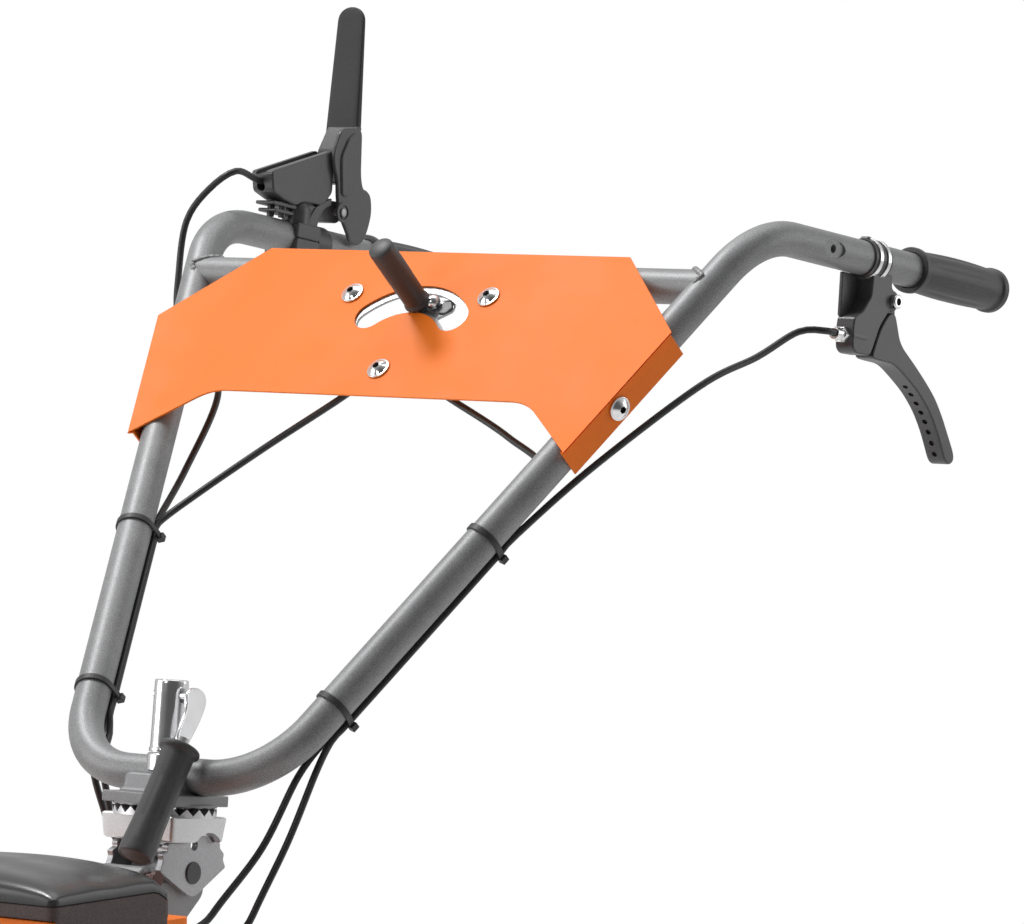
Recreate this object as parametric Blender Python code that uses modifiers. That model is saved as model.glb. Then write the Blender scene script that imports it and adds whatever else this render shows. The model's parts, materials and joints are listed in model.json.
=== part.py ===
"""Cordless weed brush: a walk-behind machine with a swinging, tilting handlebar.

Metres, +Z up. The brush is at the front, towards -Y, and +X is the operator's left.
Pieces are modelled in local frames: the empties stand on the joint axes, and a child frame
moves with its parent, so the tree of empties is also the tree of the joints.
"""
from math import atan, atan2, cos, degrees, hypot, pi, radians, sin, tan

import bmesh
import bpy
from mathutils import Matrix, Vector, geometry

# General gaps and sheet thickness
CLEAR = 0.0003
MERGE = 0.00001
SHEET = 0.0015

# Handlebar: one bent tube, seen as a V that leans back, with two handles
TUBE_R = 0.01345
TUBE_WALL = 0.0026
LEG_LEAN = radians(43.24)
LEG_BASE_X = 0.09245
LEG_SPREAD = 0.3230
LEG_TOP = 0.5437
BEND_R = 0.075
HANDLE_LENGTH = 0.3110
HANDLE_DROP = radians(9.89)
HANDLE_TOE = radians(0.87)
CROSS_TUBE_UP = 0.4869
# The lever groups are outlined on this much of a handle, from its bend, and keep their distance to its grip
LEVER_ROOM = 0.1940

# Where the handlebar's base stands above the ground and behind the axle
BASE_Z = 0.610
BASE_BEHIND_AXLE = 0.250
AXLE_Y = -0.0878

# Control panel, in the plane of the legs: heights are along that plane, and hang from the cross tube's
PANEL_TOP_UP = CROSS_TUBE_UP + 0.0117
PANEL_TOP_X = 0.1757
PANEL_FOLD_TOP_UP = CROSS_TUBE_UP - 0.0564
PANEL_FOLD_LOW_UP = CROSS_TUBE_UP - 0.1765
PANEL_INNER_X = 0.1542
PANEL_INNER_UP = CROSS_TUBE_UP - 0.1307
PANEL_CORNER_R = 0.014
PANEL_BEND_R = 0.0035
FLANGE_DEPTH = 0.0265
TOP_FLANGE_DEPTH = 0.0045
SCREW_HEAD_R = 0.0093
SCREW_SHANK_R = 0.0030
GATE_SCREW_MID_X = -0.0024
GATE_SCREW_X = 0.0666
GATE_SCREW_HIGH_UP = CROSS_TUBE_UP - 0.0291
GATE_SCREW_LOW_UP = CROSS_TUBE_UP - 0.1042
FLANGE_SCREW_UP = CROSS_TUBE_UP - 0.1161
GATE_SHEET = 0.0020

# Shift lever, which swings in the panel's arched gate
GATE_ARCH_UP = CROSS_TUBE_UP - 0.0879
GATE_ARCH_R = 0.0552
GATE_ARCH_HALF_WIDTH = 0.0135
GATE_ARCH_HALF_ANGLE = radians(47.0)
SHIFT_REST = radians(10.2)
SHIFT_ROD_R = 0.0050
SHIFT_GRIP_R = 0.0101
SHIFT_GRIP_START = 0.0120
SHIFT_GRIP_LENGTH = 0.0700
SHIFT_LEAN = radians(10.0)

# Grips
GRIP_WALL = 0.0032
GRIP_LENGTH = 0.1170
GRIP_FLANGE_R = 0.0181
GRIP_BEAD_R = 0.0178

# Clamp nut, its folding lever and the swing plates
SWING_LEAN = radians(5.5)
SWING_AXIS_Y = -0.0025
NUT_R = 0.0123
NUT_LOW = 0.0165
NUT_HIGH = 0.0700
CLAMP_BOLT_R = 0.0060
NUT_PIN_UP = 0.0585
NUT_PIN_R = 0.0050
LEVER_BAR_X = 0.0240
LEVER_BAR_THICK = 0.0050
LEVER_BAR_WIDTH = 0.0190
LEVER_HANG = radians(35.0)
LEVER_BAR_LENGTH = 0.0350
LEVER_BAR_TIP = 0.0120
LEVER_OUTWARD = 0.23
LEVER_GRIP_CRANK = radians(-6.0)
LEVER_GRIP_R = 0.0118
LEVER_GRIP_LENGTH = 0.0830
PLATE_X = 0.0710
PLATE_Y = 0.0620
SWING_PLATE_THICK = 0.0080
SADDLE_X = 0.0580
SADDLE_Y = 0.0420
SADDLE_HEIGHT = 0.0140
TEETH = 22
TEETH_OUTER_R = 0.0385
TEETH_INNER_R = 0.0230
TOOTH_HEIGHT = 0.0036
TOOTH_FOOT = 0.0008
INDEX_BLOCK_HEIGHT = 0.0240
INDEX_BLOCK_TAPER = 0.0060

# Height joint: serrated side plates turn on a cross bolt in the column's head
PIVOT_Y = -0.0047
PIVOT_Z = -0.0707
SIDE_PLATE_X = 0.0215
SIDE_PLATE_THICK = 0.0055
SIDE_PLATE_DOWN = 0.0170
SERRATION_R = 0.0390
SERRATION_DEPTH = 0.0020
SERRATIONS = 24
PIVOT_BOLT_R = 0.0060
PIVOT_HEAD_R = 0.0085
LOCK_PIN_R = 0.0040
LOCK_TRAVEL = 0.0030
COLUMN_HEAD_R = 0.0168

# Column under the height joint, and its lock pin
LOCK_EAR_R = 0.0085
COLUMN_NOTCH = 0.0030
COLUMN_FRONT = 0.1450
COLUMN_DEPTH = 0.0450
COLUMN_KNEE_Z = 0.4500

# Wheels and axle
TYRE_R = 0.1650
TYRE_WIDTH = 0.1000
TYRE_STEPS = 20
LUG = 0.0070
LUG_TAPER = 0.86
BEAD = 0.0340
TRACK = 0.3700
RIM_R = 0.0900
HUB_R = 0.0240
HUB_OUT = 0.0500
HUB_IN = 0.0300
HUB_CAP = 0.0045
AXLE_R = 0.0100
AXLE_TUBE_R = 0.0225
AXLE_TUBE_HALF = 0.1250
GEARBOX_HALF_X = 0.0550
GEARBOX_LENGTH = 0.1400
GEARBOX_BELOW = 0.0600

# Chassis, battery housing and hood
CHASSIS_Z = 0.2520
CHASSIS_SHEET = 0.0040
CHASSIS_HALF_X = 0.1100
CHASSIS_FRONT = 0.2500
CHASSIS_REAR = 0.2000
CHASSIS_FLANGE = 0.0400
BUSH_R = 0.0200
BUSH_LENGTH = 0.0450
BUSH_WEB = 0.0240
BODY_HALF_X = 0.1170
BODY_FRONT = 0.0120
BODY_REAR = 0.1370
BODY_TOP = 0.5360
BODY_WALL = 0.0030
BODY_CORNER_R = 0.0080
BODY_LEDGE_Z = 0.5250
HOOD_HALF_X = 0.1205
HOOD_FRONT = 0.0155
HOOD_REAR = 0.1110
HOOD_WALL = 0.0030
HOOD_GAP = 0.0005
HOOD_SEAM_Z = 0.5480
HOOD_FRONT_DROP = 0.0110
HOOD_SKIRT_Z = 0.5150
HOOD_CROWN = 0.0200
HOOD_SHOULDER = 0.55
BATTERY_X = 0.0920
BATTERY_Y = 0.0760
BATTERY_Z = 0.1850
BATTERY_GAP = 0.0060
BATTERY_FLOOR = 0.3350

# Brush head
HEAD_PIVOT_AHEAD = 0.2500
HEAD_PIVOT_Z = 0.1950
HEAD_SHAFT_R = 0.0120
HEAD_GAP = 0.0040
HEAD_PLATE_X = 0.1800
HEAD_PLATE_REACH = 0.0800
HEAD_PLATE_Z = 0.2150
HEAD_PLATE_THICK = 0.0060
MOTOR_R = 0.0640
MOTOR_HEIGHT = 0.1350
GEAR_R = 0.0450
GUARD_R = 0.3040
GUARD_Z = 0.1600
GUARD_SHEET = 0.0025
GUARD_SKIRT = 0.0700
GUARD_SKIRT_START = -0.0100
GUARD_LIP = 0.0060
GUARD_HOLE_R = 0.0200
GUARD_STEPS = 36
BRUSH_AHEAD = 0.4550
BRUSH_R = 0.2800
BRUSH_DISC_R = 0.1300
BRUSH_DISC_Z = 0.1180
BRUSH_DISC_THICK = 0.0100
BRUSH_SHAFT_R = 0.0120
BRUSH_HUB_R = 0.0300
BRUSH_NUT_R = 0.0200
TUFTS = 30
STRANDS_PER_TUFT = 10
STRAND_R = 0.0011
BRISTLE_ROOT_R = 0.1100
BRISTLE_ROW = 0.0070
BRISTLE_PITCH = 0.0034
BRISTLE_FAN = 2.2
BRISTLE_TIP_Z = 0.0020

# Cables and ties: places beside a leg are (towards +X, out of the legs' plane), left leg 1 and right leg -1
CABLE_R = 0.0027
CABLE_STEP = 0.0450
LOW_CABLE = {1: (-0.0010, -0.0166), -1: (0.0045, -0.0160)}
HIGH_CABLE = {1: (0.0060, -0.0155), -1: (0.0110, -0.0125)}
TIE_HIGH_UP = {1: 0.2360, -1: 0.2280}
TIE_LOW_UP = 0.0730
TIE_WIDTH = 0.0048
TIE_WALL = 0.0013
CABLE_HOLES = [(-0.0750, 0.1700), (-0.0600, 0.1700), (0.0600, 0.1700), (0.0750, 0.1700)]


for old in list(bpy.data.objects):
    bpy.data.objects.remove(old, do_unlink=True)

PARTS = bpy.data.collections.new("weed_brush")
CUTTERS = bpy.data.collections.new("cutters")
bpy.context.scene.collection.children.link(PARTS)
bpy.context.scene.collection.children.link(CUTTERS)


def material(name, colour, roughness, metallic=0.0):
    """A Principled material of one colour."""
    made = bpy.data.materials.new(name)
    made.use_nodes = True
    shader = made.node_tree.nodes["Principled BSDF"]
    shader.inputs["Base Color"].default_value = (*colour, 1.0)
    shader.inputs["Roughness"].default_value = roughness
    shader.inputs["Metallic"].default_value = metallic
    made.diffuse_color = (*colour, 1.0)
    return made


PAINTED_TUBE = material("painted_tube", (0.19, 0.19, 0.19), 0.45, 0.3)
PAINTED_SHEET = material("painted_sheet", (0.90, 0.17, 0.03), 0.45)
DARK_CAST = material("dark_cast", (0.045, 0.045, 0.047), 0.5, 0.2)
BLACK_PLASTIC = material("black_plastic", (0.03, 0.03, 0.032), 0.45)
BLACK_RUBBER = material("black_rubber", (0.025, 0.025, 0.026), 0.75)
CHROME = material("chrome", (0.75, 0.75, 0.76), 0.18, 1.0)
ZINC = material("zinc_steel", (0.42, 0.42, 0.43), 0.38, 1.0)
ALUMINIUM = material("aluminium", (0.66, 0.66, 0.67), 0.35, 1.0)
GLOSS_BLACK = material("gloss_black", (0.02, 0.02, 0.021), 0.15)
WIRE = material("bristle_wire", (0.30, 0.30, 0.31), 0.4, 1.0)

FRAMES = {}


def frame(name, parent, matrix):
    """An empty at a world matrix, under its parent frame."""
    made = bpy.data.objects.new(name, None)
    made.empty_display_size = 0.03
    PARTS.objects.link(made)
    if parent:
        made.parent = parent
        matrix_local = FRAMES[parent.name].inverted() @ matrix
    else:
        matrix_local = matrix
    made.matrix_basis = matrix_local
    FRAMES[made.name] = matrix
    return made


def settle(obj, parent, mat, at=(0, 0, 0), turn=(0, 0, 0)):
    """Puts an object in the machine at a place and turn in its parent frame."""
    PARTS.objects.link(obj)
    obj.parent = parent
    obj.location = at
    obj.rotation_euler = [radians(a) for a in turn]
    if not obj.data.materials:
        obj.data.materials.append(mat)
    return obj


def as_tool(obj):
    """Turns a settled object into a Boolean operand."""
    PARTS.objects.unlink(obj)
    CUTTERS.objects.link(obj)
    obj.hide_render = True
    obj.display_type = "WIRE"
    return obj


def boolean(obj, tool, operation):
    """Adds an exact Boolean with a tool object."""
    as_tool(tool)
    step = obj.modifiers.new(operation.lower(), "BOOLEAN")
    step.operation = operation
    step.solver = "EXACT"
    step.object = tool
    return obj


def cut(obj, *tools):
    """Cuts each tool out of the object."""
    for tool in tools:
        boolean(obj, tool, "DIFFERENCE")
    return obj


def join(obj, *tools):
    """Joins each tool to the object as one solid."""
    for tool in tools:
        boolean(obj, tool, "UNION")
    return obj


def round_edges(obj, width, segments=2, angle=30):
    """Bevels the edges that are sharper than an angle."""
    step = obj.modifiers.new("round", "BEVEL")
    step.width = width
    step.segments = segments
    step.limit_method = "ANGLE"
    step.angle_limit = radians(angle)
    return obj


def smooth(obj, angle=35):
    """Shades a mesh smooth, with sharp edges kept."""
    obj.data.shade_smooth()
    obj.data.set_sharp_from_angle(angle=radians(angle))
    return obj


def mesh_object(name, fill):
    """A mesh object whose mesh is filled by a function of a bmesh."""
    mesh = bpy.data.meshes.new(name)
    bm = bmesh.new()
    fill(bm)
    bm.to_mesh(mesh)
    bm.free()
    return bpy.data.objects.new(name, mesh)


def box(name, size, parent, mat, at=(0, 0, 0), turn=(0, 0, 0), bevel=0.0, segments=1):
    """A box of a size, centred on its place."""
    scale = Matrix.Diagonal((*size, 1.0))
    obj = mesh_object(name, lambda bm: bmesh.ops.create_cube(bm, size=1.0, matrix=scale))
    settle(obj, parent, mat, at, turn)
    return round_edges(obj, bevel, segments) if bevel else obj


def rod(name, radius, length, parent, mat, at=(0, 0, 0), turn=(0, 0, 0), sides=24, top_radius=None,
        bevel=0.0):
    """A cylinder or cone along its own Z, centred on its place."""
    top = radius if top_radius is None else top_radius
    obj = mesh_object(name, lambda bm: bmesh.ops.create_cone(
        bm, cap_ends=True, segments=sides, radius1=radius, radius2=top, depth=length))
    settle(smooth(obj), parent, mat, at, turn)
    return round_edges(obj, bevel, 1, 60) if bevel else obj


ALONG_X = (0, 90, 0)
ALONG_Y = (-90, 0, 0)


def turned(name, profile, parent, mat, at=(0, 0, 0), turn=(0, 0, 0), steps=24, sweep=360.0):
    """A Screw modifier turns a profile of (radius, height) points about its own Z."""
    mesh = bpy.data.meshes.new(name)
    count = len(profile)
    closed = profile[0][0] > 0 and profile[-1][0] > 0
    edges = [(i, i + 1) for i in range(count - 1)] + ([(count - 1, 0)] if closed and sweep == 360.0 else [])
    mesh.from_pydata([(r, 0, z) for r, z in profile], edges, [])
    obj = bpy.data.objects.new(name, mesh)
    step = obj.modifiers.new("turn", "SCREW")
    step.angle = radians(sweep)
    step.steps = steps
    step.render_steps = steps
    step.use_merge_vertices = True
    step.merge_threshold = MERGE
    step.use_smooth_shade = True
    return settle(obj, parent, mat, at, turn)


def curve_tube(name, points, radius, parent, mat, resolution=2):
    """A tube along a line of points: a poly curve with a round bevel and filled caps."""
    curve = bpy.data.curves.new(name, "CURVE")
    curve.dimensions = "3D"
    curve.bevel_depth = radius
    curve.bevel_resolution = resolution
    curve.use_fill_caps = True
    spline = curve.splines.new("POLY")
    spline.points.add(len(points) - 1)
    for point, place in zip(spline.points, points):
        point.co = (*place, 1.0)
    return settle(bpy.data.objects.new(name, curve), parent, mat)


def to_mesh(obj):
    """Replaces a curve object by a welded mesh at the same place."""
    graph = bpy.context.evaluated_depsgraph_get()
    graph.update()
    mesh = bpy.data.meshes.new_from_object(obj.evaluated_get(graph))
    name, parent, basis = obj.name, obj.parent, obj.matrix_basis.copy()
    bpy.data.objects.remove(obj, do_unlink=True)
    mesh.name = name
    bm = bmesh.new()
    bm.from_mesh(mesh)
    bmesh.ops.remove_doubles(bm, verts=bm.verts, dist=MERGE)
    bm.to_mesh(mesh)
    bm.free()
    made = bpy.data.objects.new(name, mesh)
    PARTS.objects.link(made)
    made.parent = parent
    made.matrix_basis = basis
    return made


def plate(name, outline, thick, parent, mat, at=(0, 0, 0), turn=(0, 0, 0), holes=()):
    """A flat plate: a filled 2D curve, with its thickness centred on its own XY plane."""
    curve = bpy.data.curves.new(name, "CURVE")
    curve.dimensions = "2D"
    curve.fill_mode = "BOTH"
    curve.extrude = thick / 2
    for loop in (outline, *holes):
        spline = curve.splines.new("POLY")
        spline.points.add(len(loop) - 1)
        for point, place in zip(spline.points, loop):
            point.co = (place[0], place[1], 0, 1)
        spline.use_cyclic_u = True
    return to_mesh(settle(bpy.data.objects.new(name, curve), parent, mat, at, turn))


def arc(cx, cy, radius, start, end, steps):
    """Points of an arc in a plane, from one angle to another in degrees."""
    return [(cx + radius * cos(radians(start + (end - start) * i / steps)),
             cy + radius * sin(radians(start + (end - start) * i / steps))) for i in range(steps + 1)]


def capsule(radius, length, steps=6):
    """The outline of a bar with round ends, from the origin along +X."""
    return arc(length, 0, radius, -90, 90, steps) + arc(0, 0, radius, 90, 270, steps)


def rounded_rectangle(half_x, y0, y1, radius, steps=3):
    """The outline of a rectangle with round corners, even in X."""
    x, low, high = half_x - radius, y0 + radius, y1 - radius
    return (arc(x, low, radius, -90, 0, steps) + arc(x, high, radius, 0, 90, steps)
            + arc(-x, high, radius, 90, 180, steps) + arc(-x, low, radius, 180, 270, steps))


def rounded_path(corners, radius, step=radians(9.0)):
    """A line of points through 3D corners, with each inner corner rounded to a radius."""
    points = [Vector(corners[0])]
    for before, here, after in zip(corners, corners[1:], corners[2:]):
        a = (Vector(before) - Vector(here)).normalized()
        b = (Vector(after) - Vector(here)).normalized()
        bend = pi - a.angle(b)
        reach = radius * tan(bend / 2)
        start = Vector(here) + a * reach
        centre = Vector(here) + (a + b).normalized() * (radius / cos(bend / 2))
        axis = (-a).cross(b).normalized()
        steps = max(2, round(bend / step))
        arm = start - centre
        points += [centre + Matrix.Rotation(bend * i / steps, 3, axis) @ arm for i in range(steps + 1)]
    return points + [Vector(corners[-1])]


def smooth_route(points, spacing):
    """Points about a spacing apart on a Catmull-Rom curve through a cable's own points."""
    knots = [Vector(p) for p in points]
    knots = [knots[0] * 2 - knots[1]] + knots + [knots[-1] * 2 - knots[-2]]
    route = []
    for p0, p1, p2, p3 in zip(knots, knots[1:], knots[2:], knots[3:]):
        steps = max(1, round((p2 - p1).length / spacing))
        for i in range(steps):
            t = i / steps
            route.append(0.5 * (2 * p1 + (p2 - p0) * t + (2 * p0 - 5 * p1 + 4 * p2 - p3) * t ** 2
                                + (3 * p1 - p0 - 3 * p2 + p3) * t ** 3))
    return route + [knots[-2]]


# Frames
BASE = Vector((0, AXLE_Y + BASE_BEHIND_AXLE, BASE_Z))
MACHINE = frame("machine", None, Matrix.Identity(4))
TILT = frame("height_axis", MACHINE, Matrix.Translation(BASE + Vector((0, PIVOT_Y, PIVOT_Z))))
SWING_ORIGIN = BASE + Vector((0, SWING_AXIS_Y, 0))
SWING_MATRIX = Matrix.Translation(SWING_ORIGIN) @ Matrix.Rotation(-SWING_LEAN, 4, "X")
INDEX = frame("index_frame", TILT, SWING_MATRIX)
SWING = frame("swing_axis", INDEX, SWING_MATRIX)
NUT = frame("nut_axis", SWING, SWING_MATRIX)
LEGS = frame("leg_plane", SWING, Matrix.Translation(BASE) @ Matrix.Rotation(pi / 2 - LEG_LEAN, 4, "X"))
BAR = frame("handlebar_base", SWING, Matrix.Translation(BASE))


def leg_x(up):
    """How far a leg's centreline stands from the middle, at a height in the legs' plane."""
    return LEG_BASE_X + LEG_SPREAD * up


def in_plane(x, up, out=0.0):
    """A point given in the legs' plane, in the handlebar base's frame."""
    return Vector((x, up * sin(LEG_LEAN) - out * cos(LEG_LEAN), up * cos(LEG_LEAN) + out * sin(LEG_LEAN)))


LEG_CORNER = in_plane(leg_x(LEG_TOP), LEG_TOP)
HANDLE_FRAMES = {}
for side, sign in (("left", 1), ("right", -1)):
    corner = Vector((sign * LEG_CORNER.x, LEG_CORNER.y, LEG_CORNER.z))
    HANDLE_FRAMES[side] = frame(
        side + "_handle", SWING, Matrix.Translation(BASE + corner)
        @ Matrix.Rotation(-HANDLE_DROP, 4, "X") @ Matrix.Rotation(-sign * HANDLE_TOE, 4, "Z"))
LEVER_FRAMES = {side: frame(side + "_levers", handle, FRAMES[handle.name]
                            @ Matrix.Translation((0, HANDLE_LENGTH - GRIP_LENGTH - LEVER_ROOM, 0)))
                for side, handle in HANDLE_FRAMES.items()}
LEFT, RIGHT = LEVER_FRAMES["left"], LEVER_FRAMES["right"]
LEG_SLOPE = atan(LEG_SPREAD)
SIDE_OUT = (TUBE_R + CLEAR + SHEET) / cos(LEG_SLOPE)
FRONT_OUT = TUBE_R + CLEAR + SHEET


def handlebar():
    """The bent tube, open at its ends, drilled for the clamp bolt and the two flange screws."""
    def line(length):
        left_end, right_end = (FRAMES[side + "_handle"] @ Vector((0, length, 0)) - BASE
                               for side in ("left", "right"))
        return rounded_path([right_end, Vector((-LEG_CORNER.x, LEG_CORNER.y, LEG_CORNER.z)),
                             (-LEG_BASE_X, 0, 0), (LEG_BASE_X, 0, 0), LEG_CORNER, left_end], BEND_R)

    inner = TUBE_R - TUBE_WALL
    tube = to_mesh(curve_tube("handlebar_tube", line(HANDLE_LENGTH), TUBE_R, BAR, PAINTED_TUBE, 4))
    cut(tube, to_mesh(curve_tube("tube_bore", line(HANDLE_LENGTH + TUBE_WALL), inner, BAR, PAINTED_TUBE, 2)))
    smooth(tube)
    cut(tube, rod("bolt_hole", CLAMP_BOLT_R + CLEAR, 0.06, SWING, PAINTED_TUBE))
    for sign in (1, -1):
        cut(tube, rod("flange_screw_hole", SCREW_SHANK_R + CLEAR, 0.024, LEGS, PAINTED_TUBE,
                      at=(sign * (leg_x(FLANGE_SCREW_UP) + TUBE_R * cos(LEG_SLOPE)),
                          FLANGE_SCREW_UP - TUBE_R * sin(LEG_SLOPE), 0),
                      turn=(0, 90, -sign * degrees(LEG_SLOPE)), sides=12))
    cross = to_mesh(curve_tube("cross_tube", [(-leg_x(CROSS_TUBE_UP), CROSS_TUBE_UP, 0),
                                              (leg_x(CROSS_TUBE_UP), CROSS_TUBE_UP, 0)],
                               TUBE_R, LEGS, PAINTED_TUBE, 6))
    cut(cross, rod("cross_bore", inner, 3 * leg_x(CROSS_TUBE_UP), LEGS, PAINTED_TUBE,
                   at=(0, CROSS_TUBE_UP, 0), turn=ALONG_X, sides=12))
    smooth(cross)
    for sign in (1, -1):
        cut(cross, rod("fish_mouth", TUBE_R + CLEAR, 0.12, LEGS, PAINTED_TUBE,
                       at=(sign * leg_x(CROSS_TUBE_UP), CROSS_TUBE_UP, 0),
                       turn=(-90, 0, -sign * degrees(LEG_SLOPE)), sides=32))


def gate_slot(name, grow, depth, at_z):
    """A tool of the arched gate, wider by a margin on every side."""
    reach = degrees(GATE_ARCH_HALF_ANGLE)
    half = GATE_ARCH_HALF_WIDTH + grow
    ends = [(GATE_ARCH_R * cos(radians(90 + a)), GATE_ARCH_R * sin(radians(90 + a))) for a in (-reach, reach)]
    outline = (arc(0, 0, GATE_ARCH_R + half, 90 - reach, 90 + reach, 10)
               + arc(*ends[1], half, 90 + reach, 270 + reach, 6)[1:-1]
               + arc(0, 0, GATE_ARCH_R - half, 90 + reach, 90 - reach, 8)
               + arc(*ends[0], half, 270 - reach, 450 - reach, 6)[1:-1])
    return plate(name, outline, depth, LEGS, PAINTED_SHEET, at=(0, GATE_ARCH_UP, at_z))


GATE_SCREWS = [(GATE_SCREW_MID_X - GATE_SCREW_X, GATE_SCREW_HIGH_UP),
               (GATE_SCREW_MID_X + GATE_SCREW_X, GATE_SCREW_HIGH_UP),
               (GATE_SCREW_MID_X, GATE_SCREW_LOW_UP)]


def control_panel():
    """The folded sheet between the legs: an open surface with side and top flanges, then its thickness."""
    def fold_x(up):
        return leg_x(up) + SIDE_OUT

    # The corners where the inner edges would meet their neighbours are rounded by an arc
    low, inner = (fold_x(PANEL_FOLD_LOW_UP), PANEL_FOLD_LOW_UP), (PANEL_INNER_X, PANEL_INNER_UP)
    half = [(PANEL_TOP_X, PANEL_TOP_UP), (fold_x(PANEL_FOLD_TOP_UP), PANEL_FOLD_TOP_UP), low]
    bend = atan2(low[1] - inner[1], low[0] - inner[0])
    reach = PANEL_CORNER_R * tan(-bend / 2)
    centre = (inner[0] - reach, inner[1] - PANEL_CORNER_R)
    corner = arc(*centre, PANEL_CORNER_R, 90 + degrees(bend), 90, 4)
    right = half + corner
    left = [(-x, y) for x, y in reversed(right)]

    def fill(bm):
        front = [bm.verts.new((x, y, FRONT_OUT)) for x, y in right + left]
        face = bm.faces.new(list(reversed(front)))
        count = len(front)
        folds = [(front[1], front[2], FLANGE_DEPTH), (front[count - 3], front[count - 2], FLANGE_DEPTH),
                 (front[count - 1], front[0], TOP_FLANGE_DEPTH)]
        bends = []
        for a, b, depth in folds:
            edge = bm.edges.get((a, b))
            made = bmesh.ops.extrude_edge_only(bm, edges=[edge])
            moved = [v for v in made["geom"] if isinstance(v, bmesh.types.BMVert)]
            bmesh.ops.translate(bm, verts=moved, vec=(0, 0, -depth))
            bends.append(edge)
        bmesh.ops.bevel(bm, geom=bends, offset=PANEL_BEND_R, segments=2, profile=0.5, affect="EDGES")
        bmesh.ops.recalc_face_normals(bm, faces=bm.faces)
        if face.is_valid and face.normal.z < 0:
            bmesh.ops.reverse_faces(bm, faces=bm.faces)

    panel = settle(mesh_object("control_panel", fill), LEGS, PAINTED_SHEET)
    wall = panel.modifiers.new("sheet", "SOLIDIFY")
    wall.thickness = SHEET
    wall.offset = -1.0
    wall.use_even_offset = True
    cut(panel, gate_slot("panel_gate", 0.0, 0.02, FRONT_OUT))
    for x, up in GATE_SCREWS:
        cut(panel, rod("panel_screw_hole", SCREW_SHANK_R + CLEAR, 0.02, LEGS, PAINTED_SHEET,
                       at=(x, up, FRONT_OUT), sides=12))
    for sign in (1, -1):
        cut(panel, rod("flange_hole", SCREW_SHANK_R + CLEAR, 0.02, LEGS, PAINTED_SHEET,
                       at=(sign * (leg_x(FLANGE_SCREW_UP) + TUBE_R * cos(LEG_SLOPE)),
                           FLANGE_SCREW_UP - TUBE_R * sin(LEG_SLOPE), 0),
                       turn=(0, 90, -sign * degrees(LEG_SLOPE)), sides=12))

    # The gate plate behind the panel, a rounded triangle round the three screws
    margin = 0.012
    gate_out = FRONT_OUT - SHEET - CLEAR - GATE_SHEET / 2
    left_screw, right_screw, low_screw = GATE_SCREWS
    outline = (arc(*right_screw, margin, -30, 90, 4) + arc(*left_screw, margin, 90, 210, 4)
               + arc(*low_screw, margin, 215, 325, 4))
    gate = plate("gate_plate", outline, GATE_SHEET, LEGS, ZINC, at=(0, 0, gate_out))
    cut(gate, gate_slot("gate_plate_gate", -0.0025, 0.02, gate_out))
    for x, up in GATE_SCREWS:
        cut(gate, rod("gate_screw_hole", SCREW_SHANK_R + CLEAR, 0.02, LEGS, ZINC, at=(x, up, gate_out),
                      sides=12))

    # Button screws with a hexagon socket: three through the gate plate and one in each flange
    head = [(0.0, 0.0012), (0.0020, 0.0012), (0.0020, 0.0046), (0.0052, 0.0046),
            (SCREW_HEAD_R, 0.0012), (SCREW_HEAD_R, 0.0), (SCREW_SHANK_R, 0.0)]
    shank = 0.0105
    profile = head + [(SCREW_SHANK_R, -shank), (0.0, -shank)]
    screws = [((x, up, FRONT_OUT + CLEAR), (0, 0, 0)) for x, up in GATE_SCREWS]
    for sign in (1, -1):
        out = TUBE_R + 2 * CLEAR + SHEET
        screws.append(((sign * (leg_x(FLANGE_SCREW_UP) + out * cos(LEG_SLOPE)),
                        FLANGE_SCREW_UP - out * sin(LEG_SLOPE), 0),
                       (0, sign * 90, -sign * degrees(LEG_SLOPE))))
    for number, (at, turn) in enumerate(screws, 1):
        turned(f"panel_screw_{number}", profile, LEGS, CHROME, at=at, turn=turn, steps=8)


def shift_lever():
    """A rod on a pivoted arm behind the panel, which comes out through the arched gate."""
    arm_out = FRONT_OUT - SHEET - 2 * CLEAR - GATE_SHEET - 0.0020
    pivot = FRAMES["leg_plane"] @ Matrix.Translation((0, GATE_ARCH_UP,
                                                      arm_out)) @ Matrix.Rotation(-SHIFT_REST, 4, "Z")
    lever = frame("shift_axis", LEGS, pivot)
    thick = 0.0040 - CLEAR
    arm_outline = capsule(0.0090, GATE_ARCH_R, 6)
    arm = plate("shift_lever", arm_outline, thick, lever, ZINC, at=(0, 0, 0), turn=(0, 0, 90))
    length = 0.0920
    along = Vector((0, -sin(SHIFT_LEAN), cos(SHIFT_LEAN)))
    foot = Vector((0, GATE_ARCH_R, 0))
    stem = rod("shift_stem", SHIFT_ROD_R, length, lever, ZINC, at=foot + along * (length / 2 - 0.0005),
               turn=(degrees(SHIFT_LEAN), 0, 0), sides=16)
    join(arm, stem)
    cut(arm, rod("shift_bore", 0.0040 + CLEAR, 0.02, lever, ZINC, sides=16))
    bolt = [(0.0, 0.0019), (0.0040, 0.0019), (0.0040, -thick / 2 - CLEAR), (0.0078, -thick / 2 - CLEAR),
            (0.0078, -0.0085), (0.0, -0.0085)]
    turned("shift_pivot_bolt", bolt, LEGS, ZINC, at=(0, GATE_ARCH_UP, arm_out), steps=12)
    bore = SHIFT_ROD_R + CLEAR
    start = SHIFT_GRIP_START + FRONT_OUT - arm_out
    end = start + SHIFT_GRIP_LENGTH
    inside = length + CLEAR
    r = SHIFT_GRIP_R
    grip = [(0.0, end), (r * 0.72, end), (r * 0.97, end - 0.003), (r, end - 0.008), (r * 1.03, start + 0.008),
            (r * 1.08, start + 0.0035), (r * 1.08, start), (bore, start), (bore, inside), (0.0, inside)]
    turned("shift_grip", grip, lever, BLACK_RUBBER, at=foot, turn=(degrees(SHIFT_LEAN), 0, 0), steps=16)


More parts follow.
